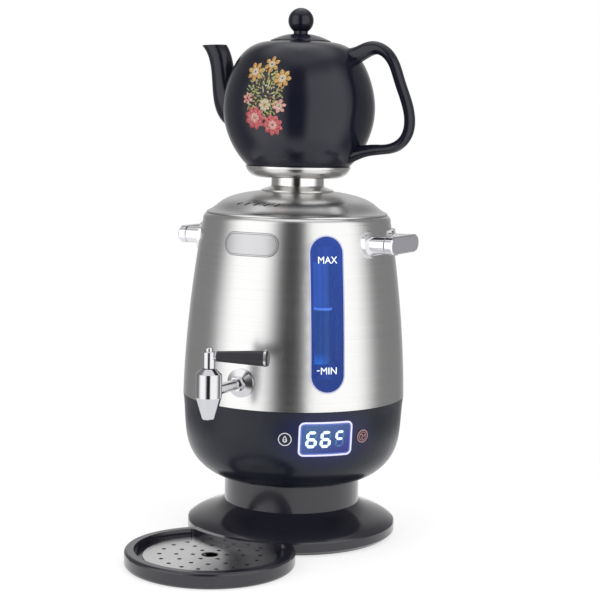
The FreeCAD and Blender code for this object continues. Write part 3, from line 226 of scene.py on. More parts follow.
def display_offset(s):
    """Distance from the display's middle along the wall and up it, in metres."""
    x, y, z = s.parts(s.place())
    a = math.radians(PANEL_DEG)
    along = s.math("ADD", s.math("MULTIPLY", x, math.cos(a)), s.math("MULTIPLY", y, math.sin(a)))
    out = s.math("SUBTRACT", s.math("MULTIPLY", x, math.sin(a)), s.math("MULTIPLY", y, math.cos(a)))
    return along, s.math("SUBTRACT", z, DISPLAY_Z), out


def housing_black():
    """Dark plastic with blue light from the display spreading in it."""
    s = plastic("housing_black", (0.016, 0.019, 0.030), 0.22)
    s.set(Specular_IOR_Level=0.30)
    along, up, out = display_offset(s)
    far = s.math("SQRT", s.math("ADD", s.math("POWER", s.math("MULTIPLY", along, 0.72), 2.0),
                                s.math("POWER", s.math("MULTIPLY", up, 1.2), 2.0)))
    glow = s.math("MULTIPLY", s.smooth(far, 0.016, 0.046, 1.0, 0.0), s.smooth(out, 0.06, 0.09))
    s.set(Emission_Color=(0.02, 0.03, 0.30), Emission_Strength=s.math("MULTIPLY", glow, 0.16))
    return s.material


def glaze():
    """Black glaze with a blue cast, slightly uneven as fired ceramic is."""
    s = Shader("glaze")
    vary(s, (0.010, 0.011, 0.022), 0.3, 25.0)
    wave = s.noise(s.place(), 22.0, 2.0)
    s.set(Roughness=s.math("ADD", 0.14, s.math("MULTIPLY", wave, 0.08)), Specular_IOR_Level=0.38)
    s.set(Coat_Weight=0.12, Coat_Roughness=0.05)
    s.bump(wave, 0.08, 0.002)
    return s.material


# Light and display materials

def lit(name, colour, glow, strength):
    """A lit or printed mark, with slight unevenness."""
    s = Shader(name)
    uneven = s.noise(s.place(), 260.0, 2.0)
    s.set(Base_Color=colour, Roughness=0.3)
    s.set(Emission_Color=s.mix(uneven, tuple(c * 0.9 for c in glow), glow), Emission_Strength=strength)
    return s.material


def printed(name, dark, light, scale):
    """Enamel print on the glaze, uneven as a decal is."""
    s = Shader(name)
    s.set(Base_Color=s.mix(s.smooth(s.noise(s.place(), scale, 4.0, 0.7), 0.35, 0.65), dark, light), Roughness=0.22)
    s.set(Coat_Weight=0.4, Coat_Roughness=0.05)
    return s.material


def gauge_glass():
    s = Shader("gauge_glass")
    s.set(Base_Color=(0.42, 0.60, 1.0), Roughness=0.03, IOR=1.25, Transmission_Weight=1.0)
    s.set(Emission_Color=(0.01, 0.03, 0.12), Emission_Strength=0.3)
    s.bump(s.noise(s.place(), 60.0, 2.0), 0.02, 0.001)
    return s.material


def gauge_inside():
    s = Shader("gauge_inside")
    _, _, z = s.parts(s.place())
    rise = s.smooth(z, 0.17, 0.30)
    s.set(Base_Color=(0.006, 0.012, 0.06), Roughness=0.5)
    s.set(Emission_Color=s.mix(rise, (0.007, 0.030, 0.140), (0.018, 0.058, 0.220)))
    s.set(Emission_Strength=s.math("ADD", 0.8, s.math("MULTIPLY", s.noise(s.place(), 120.0), 0.4)))
    return s.material


def tube_water():
    """Level tube: pale above the water, deep blue in it, a bright glow at its foot."""
    s = Shader("tube_water")
    along, _, _ = display_offset(s)
    _, _, z = s.parts(s.place())
    air = s.smooth(z, LEVEL_Z - 0.0006, LEVEL_Z + 0.0006)
    foot = s.smooth(z, TUBE_LOW_Z, TUBE_LOW_Z + 0.014, 1.0, 0.0)
    # Painted light: the left half of the tube is made lighter than the right.
    left = s.smooth(along, -0.006, 0.006, 1.0, 0.0)
    water = s.mix(left, (0.006, 0.036, 0.085), (0.008, 0.050, 0.140))
    water = s.mix(s.math("MULTIPLY", foot, left), water, (0.02, 0.17, 0.46))
    column = s.mix(air, water, s.mix(left, (0.012, 0.040, 0.120), (0.032, 0.095, 0.290)))
    # Painted highlight: a bright line at the water's surface.
    rim = s.smooth(s.math("ABSOLUTE", s.math("SUBTRACT", z, LEVEL_Z)), 0.0006, 0.0016, 1.0, 0.0)
    s.set(Base_Color=(0.006, 0.02, 0.08), Roughness=0.12)
    s.set(Emission_Color=s.mix(s.math("MULTIPLY", rim, 0.6), column, (0.25, 0.45, 1.0)))
    s.set(Emission_Strength=s.math("ADD", 0.9, s.math("MULTIPLY", s.noise(s.place(), 90.0), 0.4)))
    return s.material


def display_glass():
    s = Shader("display_glass")
    along, up, _ = display_offset(s)
    slope = s.math("SUBTRACT", s.math("MULTIPLY", along, 14.0), s.math("MULTIPLY", up, 22.0))
    blue = s.mix(s.smooth(slope, -0.5, 0.6), (0.036, 0.10, 0.28), (0.010, 0.016, 0.19))
    s.set(Base_Color=(0.01, 0.015, 0.05), Roughness=0.12)
    uneven = s.math("MULTIPLY", s.noise(s.place(), 150.0), 0.25)
    s.set(Emission_Color=blue, Emission_Strength=s.math("ADD", 0.9, uneven))
    return s.material


# Shapes wrapped on a round wall

def wall_profile(name, degrees, spread):
    """Radius of a node's outer wall against height, from its vertices near one side."""
    points = []
    for v in nodes[name].data.vertices:
        angle = math.degrees(math.atan2(v.co.x, -v.co.y))
        if abs((angle - degrees + 180) % 360 - 180) < spread:
            points.append((round(v.co.z, 6), math.hypot(v.co.x, v.co.y)))
    best = {}
    for z, r in points:
        best[z] = max(best.get(z, 0.0), r)
    hull = []
    for z in sorted(best):
        while len(hull) > 1:
            (z0, r0), (z1, r1) = hull[-2], hull[-1]
            if (r1 - r0) * (z - z0) <= (best[z] - r0) * (z1 - z0):
                hull.pop()
            else:
                break
        hull.append((z, best[z]))
    zs = [p[0] for p in hull]
    rs = [p[1] for p in hull]
    return lambda z: float(np.interp(z, zs, rs))


class Wall:
    """Maps a flat drawing in millimetres on to a round wall."""

    def __init__(self, profile, degrees, z, lift):
        self.profile = profile
        self.angle = math.radians(degrees)
        self.z = z
        self.lift = lift

    def at(self, x, up, extra=0.0):
        z = self.z + up * MM
        r = self.profile(z)
        a = self.angle + x * MM / r
        r += self.lift + extra
        return Vector((r * math.sin(a), -r * math.cos(a), z))


def finish_piece(name, bm, material, body, thickness=0.0):
    """Turns a bmesh into a smooth piece of the scene, with its material, on its body."""
    bmesh.ops.recalc_face_normals(bm, faces=bm.faces)
    mesh = bpy.data.meshes.new(name)
    bm.to_mesh(mesh)
    bm.free()
    for polygon in mesh.polygons:
        polygon.use_smooth = True
    mesh.materials.append(material)
    obj = bpy.data.objects.new(name, mesh)
    bpy.context.scene.collection.objects.link(obj)
    if thickness:
        solid = obj.modifiers.new("thickness", "SOLIDIFY")
        solid.thickness = thickness
        solid.offset = 0.0
    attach(obj, body)
    return obj


def ribbon(bm, wall, path, width, closed=True):
    """Flat band of constant width along a path of (x, up) points."""
    count = len(path)
    inner, outer = [], []
    for i, (x, y) in enumerate(path):
        before = path[i - 1] if closed or i else path[i]
        after = path[(i + 1) % count] if closed or i < count - 1 else path[i]
        dx, dy = after[0] - before[0], after[1] - before[1]
        length = math.hypot(dx, dy) or 1.0
        nx, ny = -dy / length * width / 2, dx / length * width / 2
        inner.append(bm.verts.new(wall.at(x - nx, y - ny)))
        outer.append(bm.verts.new(wall.at(x + nx, y + ny)))
    last = count if closed else count - 1
    for i in range(last):
        j = (i + 1) % count
        bm.faces.new((inner[i], inner[j], outer[j], outer[i]))


def patch(bm, wall, outline, dome=0.0):
    """Filled outline as a fan round its middle, which may stand a little proud."""
    cx = sum(p[0] for p in outline) / len(outline)
    cy = sum(p[1] for p in outline) / len(outline)
    centre = bm.verts.new(wall.at(cx, cy, dome))
    rim = [bm.verts.new(wall.at(x, y)) for x, y in outline]
    for i in range(len(rim)):
        bm.faces.new((centre, rim[i], rim[(i + 1) % len(rim)]))


def circle_path(x, y, r, count=48):
    turns = [2 * math.pi * i / count for i in range(count)]
    return [(x + r * math.cos(turn), y + r * math.sin(turn)) for turn in turns]


def rounded_path(width, height, corner, steps=8, edge_steps=10):
    """Closed outline of a rounded rectangle round the origin."""
    w, h = width / 2, height / 2
    path = []
    centres = ((w - corner, h - corner, 0), (-w + corner, h - corner, 90),
               (-w + corner, -h + corner, 180), (w - corner, -h + corner, 270))
    for i, (cx, cy, start) in enumerate(centres):
        for k in range(steps + 1):
            a = math.radians(start + 90 * k / steps)
            path.append((cx + corner * math.cos(a), cy + corner * math.sin(a)))
        nx, ny, next_start = centres[(i + 1) % 4]
        a = math.radians(next_start)
        end = (nx + corner * math.cos(a), ny + corner * math.sin(a))
        x0, y0 = path[-1]
        for k in range(1, edge_steps):
            t = k / edge_steps
            path.append((x0 + (end[0] - x0) * t, y0 + (end[1] - y0) * t))
    return path


def lettering(bm, wall, text, x, up, height, width):
    """Generic words as filled letters on the wall, stretched to a width and a height."""
    curve = bpy.data.curves.new("letters", "FONT")
    curve.body = text
    curve.resolution_u = 4
    holder = bpy.data.objects.new("letters", curve)
    bpy.context.scene.collection.objects.link(holder)
    bpy.context.view_layer.update()
    mesh = bpy.data.meshes.new_from_object(holder)
    xs = [v.co.x for v in mesh.vertices]
    ys = [v.co.y for v in mesh.vertices]
    kx = width / (max(xs) - min(xs))
    ky = height / (max(ys) - min(ys))
    mx, my = (max(xs) + min(xs)) / 2, (max(ys) + min(ys)) / 2
    made = [bm.verts.new(wall.at(x + (v.co.x - mx) * kx, up + (v.co.y - my) * ky)) for v in mesh.vertices]
    for polygon in mesh.polygons:
        bm.faces.new([made[i] for i in polygon.vertices])
    bpy.data.objects.remove(holder)
    bpy.data.curves.remove(curve)
    bpy.data.meshes.remove(mesh)


def ring_piece(name, section, material, body, count=160):
    """Ring turned about Z from a closed section of (r, z) points in millimetres."""
    bm = bmesh.new()
    rows = []
    for i in range(count):
        a = 2 * math.pi * i / count
        rows.append([bm.verts.new((r * MM * math.sin(a), -r * MM * math.cos(a), z * MM)) for r, z in section])
    for i in range(count):
        here, there = rows[i], rows[(i + 1) % count]
        for k in range(len(section)):
            m = (k + 1) % len(section)
            bm.faces.new((here[k], there[k], there[m], here[m]))
    return finish_piece(name, bm, material, body)


# Places taken from the frame

def middle_of(name):
    low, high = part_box(name)
    return [(a + b) / 2 for a, b in zip(low, high)]


DISPLAY_Z = middle_of("display_window")[2]
GAUGE_LOW_Z, GAUGE_HIGH_Z = (corner[2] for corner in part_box("gauge_window"))
TUBE_LOW_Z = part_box("tube_caps")[0][2] + 0.014
LEVEL_Z = GAUGE_LOW_Z + (GAUGE_HIGH_Z - GAUGE_LOW_Z) * 0.53
SEAM_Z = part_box("tank_shell")[0][2]

tank_wall = wall_profile("tank_shell", BADGE_DEG, 180)
bowl_wall = wall_profile("lower_housing", PANEL_DEG, 180)
pot_wall = wall_profile("teapot_body", 0.0, 50)


# Materials of the carried-over parts

STEEL = (0.70, 0.70, 0.695)
CHROME = (0.76, 0.76, 0.78)

chrome = polished("chrome", CHROME, 0.05)
give(brushed_steel("brushed_steel", STEEL, 0.22, "wall", 0.07), "tank_shell")
give(brushed_steel("lid_steel", STEEL, 0.26, "rings", 0.07), "samovar_lid", "lid_skirt")
give(brushed_steel("plain_steel", (0.55, 0.55, 0.55), 0.35, "flat", 0.1), "tank_floor", "tank_studs", "stud_nuts",
     "board_screws", "handle_screws", "tap_inner_nut", "neck_nut")
give(brushed_steel("drip_steel", (0.84, 0.84, 0.85), 0.24, "flat", 0.04), "drip_plate")
give(brushed_steel("heater_tube", (0.36, 0.35, 0.33), 0.45, "flat", 0.1), "heating_element")
give(polished("heater_alloy", (0.62, 0.62, 0.63), 0.35), "heater_plate", "thermostat", "thermal_cutout",
     "temperature_sensor")
give(chrome, "left_handle_flanges", "left_handle_posts", "right_handle_flanges", "right_handle_posts")
give(polished("tap_chrome", (0.62, 0.62, 0.64), 0.10), "tap_flange", "tap_hex_nut", "tap_pipe", "tap_barrel",
     "tap_bonnet", "tap_lever", "lever_cap_nut", "lever_ring")
give(grip_metal(), "left_handle_grip", "right_handle_grip")
give(polished("neck_polish", (0.78, 0.77, 0.76), 0.10), "neck_collar", "teapot_dish")
give(polished("plate_polish", (0.52, 0.52, 0.53), 0.26), "name_plate")
give(polished("plug_brass", (0.72, 0.56, 0.28), 0.25), "tap_plug")
give(polished("contact_metal", (0.74, 0.66, 0.45), 0.22), "inlet_pins")
give(plastic("black_gloss", (0.020, 0.020, 0.030), 0.17, coat=0.5).material, "pedestal_base", "drip_tray")
give(housing_black(), "lower_housing", "bottom_cover")
give(plastic("inlet_black", (0.012, 0.012, 0.013), 0.5, 700.0, 0.15).material, "power_inlet")
give(plastic("rubber", (0.02, 0.02, 0.02), 0.75, 500.0, 0.3).material, "rubber_feet")
give(plastic("seal_rubber", (0.62, 0.62, 0.60), 0.5, 400.0, 0.1).material, "seam_seal", "gauge_gasket",
     "tap_washers", "lid_gasket")
give(gauge_glass(), "gauge_window")
give(tube_water(), "level_tube")
give(gauge_inside(), "gauge_housing", "tube_caps")
give(lit("led_strip", (0.02, 0.04, 0.12), (0.014, 0.044, 0.150), 1.0), "gauge_led_strip")
give(display_glass(), "display_window")
give(plastic("display_dark", (0.02, 0.02, 0.025), 0.5).material, "display_module", "tact_switches")
give(plastic("board_green", (0.03, 0.16, 0.07), 0.4).material, "control_board")
give(plastic("button_black", (0.014, 0.016, 0.026), 0.22).material, "left_button", "right_button")
give(plastic("lever_black", (0.014, 0.013, 0.020), 0.30).material, "lever_grip", "lever_end_cap")
give(glaze(), "teapot_body", "teapot_lid")


# Gauge: marks and pale edge

def gauge_marks():
    z = (GAUGE_LOW_Z + GAUGE_HIGH_Z) / 2
    wall = Wall(tank_wall, PANEL_DEG, z, 0.0006)
    mark = lit("gauge_white", (0.8, 0.85, 0.9), (0.86, 0.93, 1.0), 0.9)
    bm = bmesh.new()
    lettering(bm, wall, "MAX", 0.8, 50.7, 6.4, 18.6)
    lettering(bm, wall, "MIN", 0.8, -52.0, 6.4, 15.4)
    ribbon(bm, wall, [(-10.6, -51.6), (-8.2, -51.6)], 0.9, closed=False)
    finish_piece("gauge_marks", bm, mark, "root", 0.0002)
    low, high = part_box("gauge_window")
    height = (high[2] - low[2]) / MM
    edge = lit("gauge_edge", (0.5, 0.5, 0.62), (0.46, 0.46, 0.80), 0.42)
    bm = bmesh.new()
    width = GAUGE_WIDTH + 0.5
    path = rounded_path(width, height + 0.5, width / 2 - 0.01, 24, 48)
    ribbon(bm, Wall(tank_wall, PANEL_DEG, z, 0.0003), path, 1.1)
    finish_piece("gauge_edge", bm, edge, "root", 0.0006)


# Display: border and digits

SEGMENTS = {"a": ((0, 1), (1, 1)), "b": ((1, 1), (1, 0.5)), "c": ((1, 0.5), (1, 0)), "d": ((0, 0), (1, 0)),
            "e": ((0, 0.5), (0, 0)), "f": ((0, 1), (0, 0.5)), "g": ((0, 0.5), (1, 0.5))}
DISPLAY_SHAPE = 52.6 / 32.7    # width to height
DIGIT_X = (-14.2, -0.6)        # millimetres from the display's middle
DEGREE_X = 13.4
DIGIT_UP = -0.2
DIGIT_HEIGHT = 13.4


def digit(bm, wall, shown, x, up, width, height, stroke):
    """Seven-segment sign, slightly slanted, its segments as bars with pointed ends."""
    for key in shown:
        (x0, y0), (x1, y1) = SEGMENTS[key]
        ax, ay = x + (x0 - 0.5) * width, up + (y0 - 0.5) * height
        bx, by = x + (x1 - 0.5) * width, up + (y1 - 0.5) * height
        length = math.hypot(bx - ax, by - ay)
        ux, uy = (bx - ax) / length, (by - ay) / length
        h = stroke / 2
        trim = 0.12 * stroke
        a = (ax + ux * trim, ay + uy * trim)
        b = (bx - ux * trim, by - uy * trim)
        outline = [a, (a[0] + ux * h - uy * h, a[1] + uy * h + ux * h),
                   (b[0] - ux * h - uy * h, b[1] - uy * h + ux * h),
                   b, (b[0] - ux * h + uy * h, b[1] - uy * h - ux * h),
                   (a[0] + ux * h + uy * h, a[1] + uy * h - ux * h)]
        patch(bm, wall, [(px + (py - up) * 0.09, py) for px, py in outline])


def display_marks():
    low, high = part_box("display_window")
    height = (high[2] - low[2]) / MM
    width = height * DISPLAY_SHAPE
    wall = Wall(bowl_wall, PANEL_DEG, DISPLAY_Z, 0.0004)
    line = lit("display_line", (0.6, 0.6, 0.8), (0.56, 0.56, 0.92), 0.9)
    bm = bmesh.new()
    ribbon(bm, wall, rounded_path(width - 1.2, height - 1.2, 4.6), 1.7)
    finish_piece("display_line", bm, line, "root", 0.0003)
    halo = lit("display_halo", (0.1, 0.12, 0.4), (0.12, 0.20, 0.62), 0.6)
    bm = bmesh.new()
    ribbon(bm, wall, rounded_path(width - 4.6, height - 4.6, 3.0), 0.8)
    finish_piece("display_halo", bm, halo, "root", 0.0002)
    bright = lit("display_digits", (0.7, 0.9, 1.0), (0.70, 1.0, 1.0), 1.15)
    bm = bmesh.new()
    wall = Wall(bowl_wall, PANEL_DEG, DISPLAY_Z, 0.0005)
    for x in DIGIT_X:
        digit(bm, wall, "acdefg", x, DIGIT_UP, 7.9, DIGIT_HEIGHT, 2.7)
    digit(bm, wall, "afg", DEGREE_X, DIGIT_UP, 6.8, DIGIT_HEIGHT, 2.3)
    finish_piece("display_digits", bm, bright, "root", 0.0003)
    faint = lit("display_unlit", (0.05, 0.12, 0.2), (0.04, 0.12, 0.30), 0.8)
    bm = bmesh.new()
    for x in DIGIT_X:
        digit(bm, wall, "b", x, DIGIT_UP, 7.9, DIGIT_HEIGHT, 2.3)
    digit(bm, wall, "bcde", DEGREE_X, DIGIT_UP, 6.8, DIGIT_HEIGHT, 2.0)
    finish_piece("display_unlit", bm, faint, "root", 0.0002)


# Buttons: ring with a drop, and ring with a flame

def drop_path(x, up, size, count=28):
    """Outline of a water drop, its point up."""
    path = []
    for i in range(count):
        t = 2 * math.pi * i / count
        path.append((x + 0.62 * size * math.sin(t) * math.sin(t / 2), up + 0.8 * size * math.cos(t)))
    return path


def button_marks(body, side, colour, glow, strength):
    z = middle_of(body)[2]
    a = math.radians(PANEL_DEG)
    along = [v.co.x * math.cos(a) + v.co.y * math.sin(a) for v in nodes[body].data.vertices]
    degrees = PANEL_DEG + math.degrees(math.asin((min(along) + max(along)) / 2 / bowl_wall(z)))
    wall = Wall(bowl_wall, degrees, z, 0.0005)
    material = lit(body + "_ink", colour, glow, strength)
    bm = bmesh.new()
    ribbon(bm, wall, circle_path(0, 0, 5.9), 0.95)
    if side < 0:
        ribbon(bm, wall, drop_path(0, 0.2, 3.6), 0.8)
        ribbon(bm, wall, circle_path(0, -1.0, 1.1, 20), 0.5)
    else:
        ribbon(bm, wall, circle_path(0, 0, 3.9), 0.55)
        for i in range(3):
            a = math.radians(90 + 120 * i)
            arc = []
            for k in range(9):
                t = k / 8
                r = 0.4 + 2.6 * t
                arc.append((r * math.cos(a + 1.1 * t), r * math.sin(a + 1.1 * t)))
            ribbon(bm, wall, arc, 0.8, closed=False)
    finish_piece(body + "_mark", bm, material, body, 0.0002)


# Blank plate: a thin dark line inside its edge and a painted shadow round it

def plate_line():
    low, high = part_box("name_plate")
    width = (high[0] - low[0]) / MM
    height = (high[2] - low[2]) / MM
    wall = Wall(tank_wall, BADGE_DEG, (low[2] + high[2]) / 2, 0.00125)
    bm = bmesh.new()
    ribbon(bm, wall, rounded_path(width - 2.6, height - 2.6, height / 2 - 1.35, 20, 30), 0.45)
    # One dark material for the line inside the edge and for the painted shadow round the plate.
    dark = polished("plate_dark_line_and_painted_shadow", (0.22, 0.22, 0.24), 0.3)
    finish_piece("name_plate_line", bm, dark, "root", 0.0001)
    # Painted shadow: a dark band just outside the plate's edge.
    bm = bmesh.new()
    wall = Wall(tank_wall, BADGE_DEG, (low[2] + high[2]) / 2, 0.0006)
    ribbon(bm, wall, rounded_path(width + 0.3, height + 0.3, height / 2, 20, 30), 0.5)
    finish_piece("name_plate_shadow", bm, dark, "root", 0.0012)


# Lip at the seam between steel and housing

def seam_lip():
    r = bowl_wall(SEAM_Z) / MM
    z = SEAM_Z / MM
    section = [(r - 1.0, z + 1.3), (r - 0.45, z + 1.3), (r - 0.15, z + 0.8), (r - 0.05, z + 0.2), (r - 0.15, z - 0.2),
               (r - 0.5, z - 0.3), (r - 1.1, z + 0.3)]
    ring_piece("tank_lip", section, polished("lip_polish", (0.82, 0.82, 0.84), 0.14), "root")


# Painted shade in the lid's steam vents: a dark sheet just under the lid

def lid_height():
    """Height of the lid's upper face against its radius."""
    best = {}
    for v in nodes["samovar_lid"].data.vertices:
        r = round(math.hypot(v.co.x, v.co.y), 4)
        best[r] = max(best.get(r, 0.0), v.co.z)
    rs = sorted(best)
    return lambda r: float(np.interp(r, rs, [best[q] for q in rs]))


def vent_shade_sheet():
    """Dark arc just under the lid's face, seen only through the vents: painted shade in the vent slots."""
    height = lid_height()
    low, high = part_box("samovar_lid")
    middle = VENT_RING * (high[0] - low[0]) / 2 + VENT_OUT
    bm = bmesh.new()
    rows = []
    for i in range(VENT_STEPS + 1):
        a = math.radians(VENT_DEG - VENT_HALF_DEG + 2 * VENT_HALF_DEG * i / VENT_STEPS)
        row = []
        for k in range(5):
            r = middle + (k - 2) * 0.0025
            row.append(bm.verts.new((r * math.sin(a), -r * math.cos(a), height(r) - VENT_DEPTH)))
        rows.append(row)
    for here, there in zip(rows, rows[1:]):
        for k in range(4):
            bm.faces.new((here[k], here[k + 1], there[k + 1], there[k]))
    # Painted shade: a near-black sheet that darkens the vent slots.
    black = plastic("vent_painted_shade", (0.006, 0.006, 0.006), 0.7).material
    finish_piece("lid_vent_shade_sheet", bm, black, "lid", 0.0003)


# Teapot print: a generic garland of round flowers, buds and leaves

def petals(bm, wall, x, up, count, length, width, turn=0.0, inner=0.25):
    """Open flower of round-ended petals."""
    for i in range(count):
        a = math.radians(turn + 360 * i / count)
        start = (x + inner * length * math.cos(a), up + inner * length * math.sin(a))
        leaf(bm, wall, *start, math.degrees(a), length, width, 0.62)


def leaf(bm, wall, x, up, degrees, length, width, widest=0.45):
    """Leaf or petal that starts at a point and grows along an angle."""
    a = math.radians(degrees)
    outline = []
    steps = 6
    for side in (1, -1):
        for k in range(steps + 1):
            t = k / steps if side > 0 else 1 - k / steps
            if (side > 0 and k == steps) or (side < 0 and k == steps):
                continue
            s = (t / widest) if t < widest else (1 - t) / (1 - widest)
            half = width / 2 * math.sin(min(1.0, s) * math.pi / 2) * side
            outline.append((x + t * length * math.cos(a) - half * math.sin(a),
                            up + t * length * math.sin(a) + half * math.cos(a)))
    patch(bm, wall, outline, dome=0.00012)


def teapot_print():
    layers = {
        "print_gold": (printed("print_gold", (0.50, 0.22, 0.03), (0.78, 0.50, 0.18), 700.0), 0.00035),
        "print_cream": (printed("print_cream", (0.55, 0.45, 0.28), (0.82, 0.76, 0.58), 800.0), 0.00050),
        "print_green": (printed("print_green", (0.20, 0.22, 0.04), (0.58, 0.56, 0.16), 650.0), 0.00022),
        "print_sage": (printed("print_sage", (0.26, 0.27, 0.10), (0.66, 0.64, 0.34), 650.0), 0.00030),
        "print_red": (printed("print_red", (0.40, 0.03, 0.05), (0.78, 0.20, 0.20), 600.0), 0.00035),
        "print_rose": (printed("print_rose", (0.62, 0.20, 0.20), (0.88, 0.55, 0.48), 700.0), 0.00052),
        "print_brown": (printed("print_brown", (0.16, 0.06, 0.03), (0.36, 0.16, 0.09), 700.0), 0.00020),
    }
    meshes = {key: bmesh.new() for key in layers}
    walls = {key: Wall(pot_wall, 0.0, POT_PRINT_Z, lift) for key, (_, lift) in layers.items()}
    rng = random.Random(7)

    def flower(outer, inner, x, up, size, turn, count):
        petals(meshes[outer], walls[outer], x, up, count, size, size * 0.62, turn)
        petals(meshes[inner], walls[inner], x, up, count, size * 0.5, size * 0.34, turn + 180 / count, 0.15)

    # Three gold daisies along the top, two red dahlias and a rose bud low down.
    flower("print_gold", "print_cream", -13.0, 23.0, 7.6, 10, 7)
    flower("print_gold", "print_cream", 3.5, 30.0, 6.4, 25, 6)
    flower("print_gold", "print_cream", 16.5, 17.0, 7.0, 0, 7)
    flower("print_red", "print_rose", -9.5, -20.0, 9.2, 0, 9)
    flower("print_red", "print_rose", 9.0, -26.5, 8.2, 20, 9)
    flower("print_rose", "print_cream", 16.0, -9.0, 5.6, 12, 6)
    flower("print_rose", "print_red", -18.0, -2.0, 4.8, 40, 6)
    flower("print_cream", "print_gold", 1.5, -8.0, 5.0, 5, 8)
    # Sprays of leaves fill the middle and edge the garland.
    for i in range(LEAF_COUNT):
        angle = GOLDEN_DEG * i
        reach = LEAF_REACH * math.sqrt(i / LEAF_COUNT)
        x = reach * 0.74 * math.cos(math.radians(angle))
        up = 1.0 + reach * 1.02 * math.sin(math.radians(angle))
        key = ("print_green", "print_sage", "print_green", "print_brown", "print_sage")[i % 5]
        leaf(meshes[key], walls[key], x, up, angle + rng.uniform(-60, 60), rng.uniform(3.6, 6.6),
             rng.uniform(1.0, 2.0))
    for _ in range(BERRY_COUNT):
        angle = rng.uniform(0, 360)
        reach = rng.uniform(4.0, 25.0)
        key = rng.choice(("print_cream", "print_gold", "print_sage"))
        x, up = reach * 0.72 * math.cos(angle), 1.0 + reach * math.sin(angle)
        patch(meshes[key], walls[key], circle_path(x, up, rng.uniform(0.6, 1.1), 10))
    for key, (material, _) in layers.items():
        finish_piece("teapot_" + key, meshes[key], material, "teapot", 0.0002)


gauge_marks()
display_marks()
button_marks("left_button", -1, (0.6, 0.6, 0.68), (0.52, 0.54, 0.68), 0.45)
button_marks("right_button", 1, (0.40, 0.22, 0.24), (0.42, 0.20, 0.24), 0.40)
plate_line()
seam_lip()
vent_shade_sheet()
teapot_print()


# Floor, studio and camera

FLOOR_R = 0.62
DRUM_R = 2.6
LEFT_SPAN = (-84.0, -24.0, 18.0, 12.0)    # degrees: low edge, high edge and the softness of each
RIGHT_SPAN = (12.0, 82.0, 6.0, 18.0)
LEVEL_SPAN = (-50.0, 52.0, 8.0, 10.0)
LEFT_BOX = 1.45                           # strengths
RIGHT_BOX = 1.40
TOP_LIGHT = 1.0
SIDE_LEVEL = 0.27
GAP_LEVEL = 0.02
BACK_LEVEL = 0.38


def seen_directly(s):
    """One for rays from the camera, and for those that metal or glass sends on."""
    paths = s.tree.nodes.new("ShaderNodeLightPath")
    either = s.math("MAXIMUM", paths.outputs["Is Camera Ray"], paths.outputs["Is Glossy Ray"])
    return s.math("MAXIMUM", either, paths.outputs["Is Transmission Ray"])


def floor():
    """Round white floor that fades into the white background and keeps the contact shadow."""
    bm = bmesh.new()
    bmesh.ops.create_circle(bm, cap_ends=True, segments=96, radius=FLOOR_R)
    mesh = bpy.data.meshes.new("floor")
    bm.to_mesh(mesh)
    bm.free()
    obj = bpy.data.objects.new("floor", mesh)
    bpy.context.scene.collection.objects.link(obj)
    s = Shader("floor")
    s.set(Base_Color=(0.48, 0.48, 0.49), Roughness=0.7, Specular_IOR_Level=0.1)
    s.set(Emission_Color=WHITE, Emission_Strength=s.math("MULTIPLY", seen_directly(s), 0.70))
    clear = s.tree.nodes.new("ShaderNodeBsdfTransparent")
    blend = s.tree.nodes.new("ShaderNodeMixShader")
    s.put(blend, "i0", s.smooth(s.radius(), FLOOR_R * 0.5, FLOOR_R * 0.98))
    s.tree.links.new(s.principled.outputs[0], blend.inputs[1])
    s.tree.links.new(clear.outputs[0], blend.inputs[2])
    s.tree.links.new(blend.outputs[0], s.tree.nodes["Material Output"].inputs["Surface"])
    mesh.materials.append(s.material)


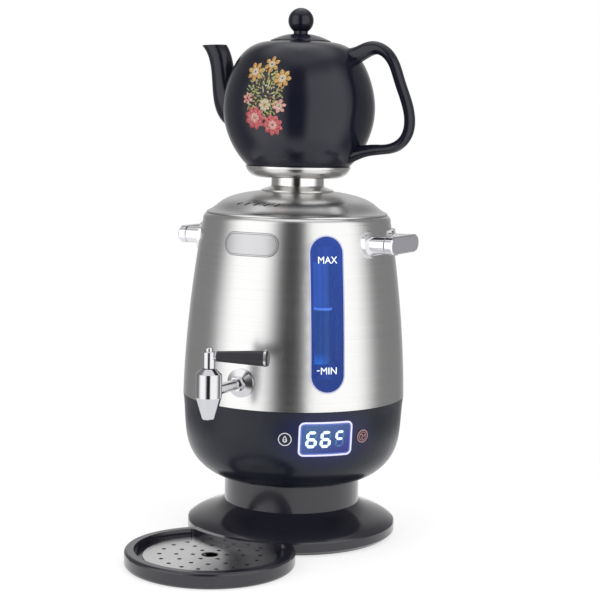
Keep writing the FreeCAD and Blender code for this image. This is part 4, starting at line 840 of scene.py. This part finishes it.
def studio():
    """Ball of soft boxes and grey cards round the object: two tall boxes with a dark gap between them,
    a soft top light, and grey at the sides and back. The camera looks through it at the white world."""
    bm = bmesh.new()
    bmesh.ops.create_uvsphere(bm, u_segments=96, v_segments=48, radius=DRUM_R)
    bmesh.ops.reverse_faces(bm, faces=bm.faces)
    mesh = bpy.data.meshes.new("soft_boxes")
    bm.to_mesh(mesh)
    bm.free()
    obj = bpy.data.objects.new("soft_boxes", mesh)
    bpy.context.scene.collection.objects.link(obj)
    obj.visible_camera = False
    obj.visible_shadow = False
    s = Shader("soft_boxes")
    x, y, z = s.parts(s.place())
    turn = math.radians(VIEW_DEG)
    # Side and front are measured from the photograph's side of the object.
    side = s.math("ADD", s.math("MULTIPLY", x, math.cos(turn)), s.math("MULTIPLY", y, math.sin(turn)))
    front = s.math("SUBTRACT", s.math("MULTIPLY", x, math.sin(turn)), s.math("MULTIPLY", y, math.cos(turn)))
    degrees = s.math("MULTIPLY", s.math("ARCTAN2", side, front), 180 / math.pi)
    rise = s.math("MULTIPLY", s.math("ARCSINE", s.math("DIVIDE", z, DRUM_R)), 180 / math.pi)

    def band(value, low, high, soft_low, soft_high):
        start = s.smooth(value, low - soft_low, low + soft_low)
        return s.math("MULTIPLY", start, s.smooth(value, high - soft_high, high + soft_high, 1.0, 0.0))

    level = band(rise, *LEVEL_SPAN)
    left = s.math("MULTIPLY", s.math("MULTIPLY", band(degrees, *LEFT_SPAN), level), LEFT_BOX)
    right = s.math("MULTIPLY", s.math("MULTIPLY", band(degrees, *RIGHT_SPAN), level), RIGHT_BOX)
    top = s.math("MULTIPLY", s.smooth(rise, 50.0, 70.0), TOP_LIGHT)
    wide = s.smooth(s.math("ABSOLUTE", degrees), 60.0, 105.0, GAP_LEVEL, SIDE_LEVEL)
    back = s.smooth(s.math("ABSOLUTE", degrees), 140.0, 172.0, 0.0, BACK_LEVEL)
    total = s.math("ADD", s.math("ADD", left, right), s.math("ADD", top, s.math("ADD", wide, back)))
    s.set(Base_Color=(0.0, 0.0, 0.0), Specular_IOR_Level=0.0, Emission_Color=WHITE, Emission_Strength=total)
    mesh.materials.append(s.material)

    world = bpy.data.worlds.new("studio")
    world.use_nodes = True
    bpy.context.scene.world = world
    # The helper's calls now add nodes to the world instead of the ball.
    s.tree = world.node_tree
    background = world.node_tree.nodes["Background"]
    background.inputs["Color"].default_value = (1.0, 1.0, 1.0, 1.0)
    s.put(background, "Strength", seen_directly(s))


def camera():
    data = bpy.data.cameras.new("camera")
    data.sensor_width = 36.0
    data.lens = CAMERA_LENS
    obj = bpy.data.objects.new("camera", data)
    bpy.context.scene.collection.objects.link(obj)
    a = math.radians(VIEW_DEG)
    place = Vector((CAMERA_DISTANCE * math.sin(a), -CAMERA_DISTANCE * math.cos(a), CAMERA_HEIGHT))
    turn = Matrix.Rotation(math.radians(VIEW_DEG - CAMERA_YAW), 4, "Z")
    tip = Matrix.Rotation(math.radians(90.0 - CAMERA_PITCH), 4, "X")
    roll = Matrix.Rotation(math.radians(CAMERA_ROLL), 4, "Z")
    obj.matrix_world = Matrix.Translation(place) @ turn @ tip @ roll
    bpy.context.scene.camera = obj


floor()
studio()
camera()
bpy.context.scene.view_settings.view_transform = "Standard"
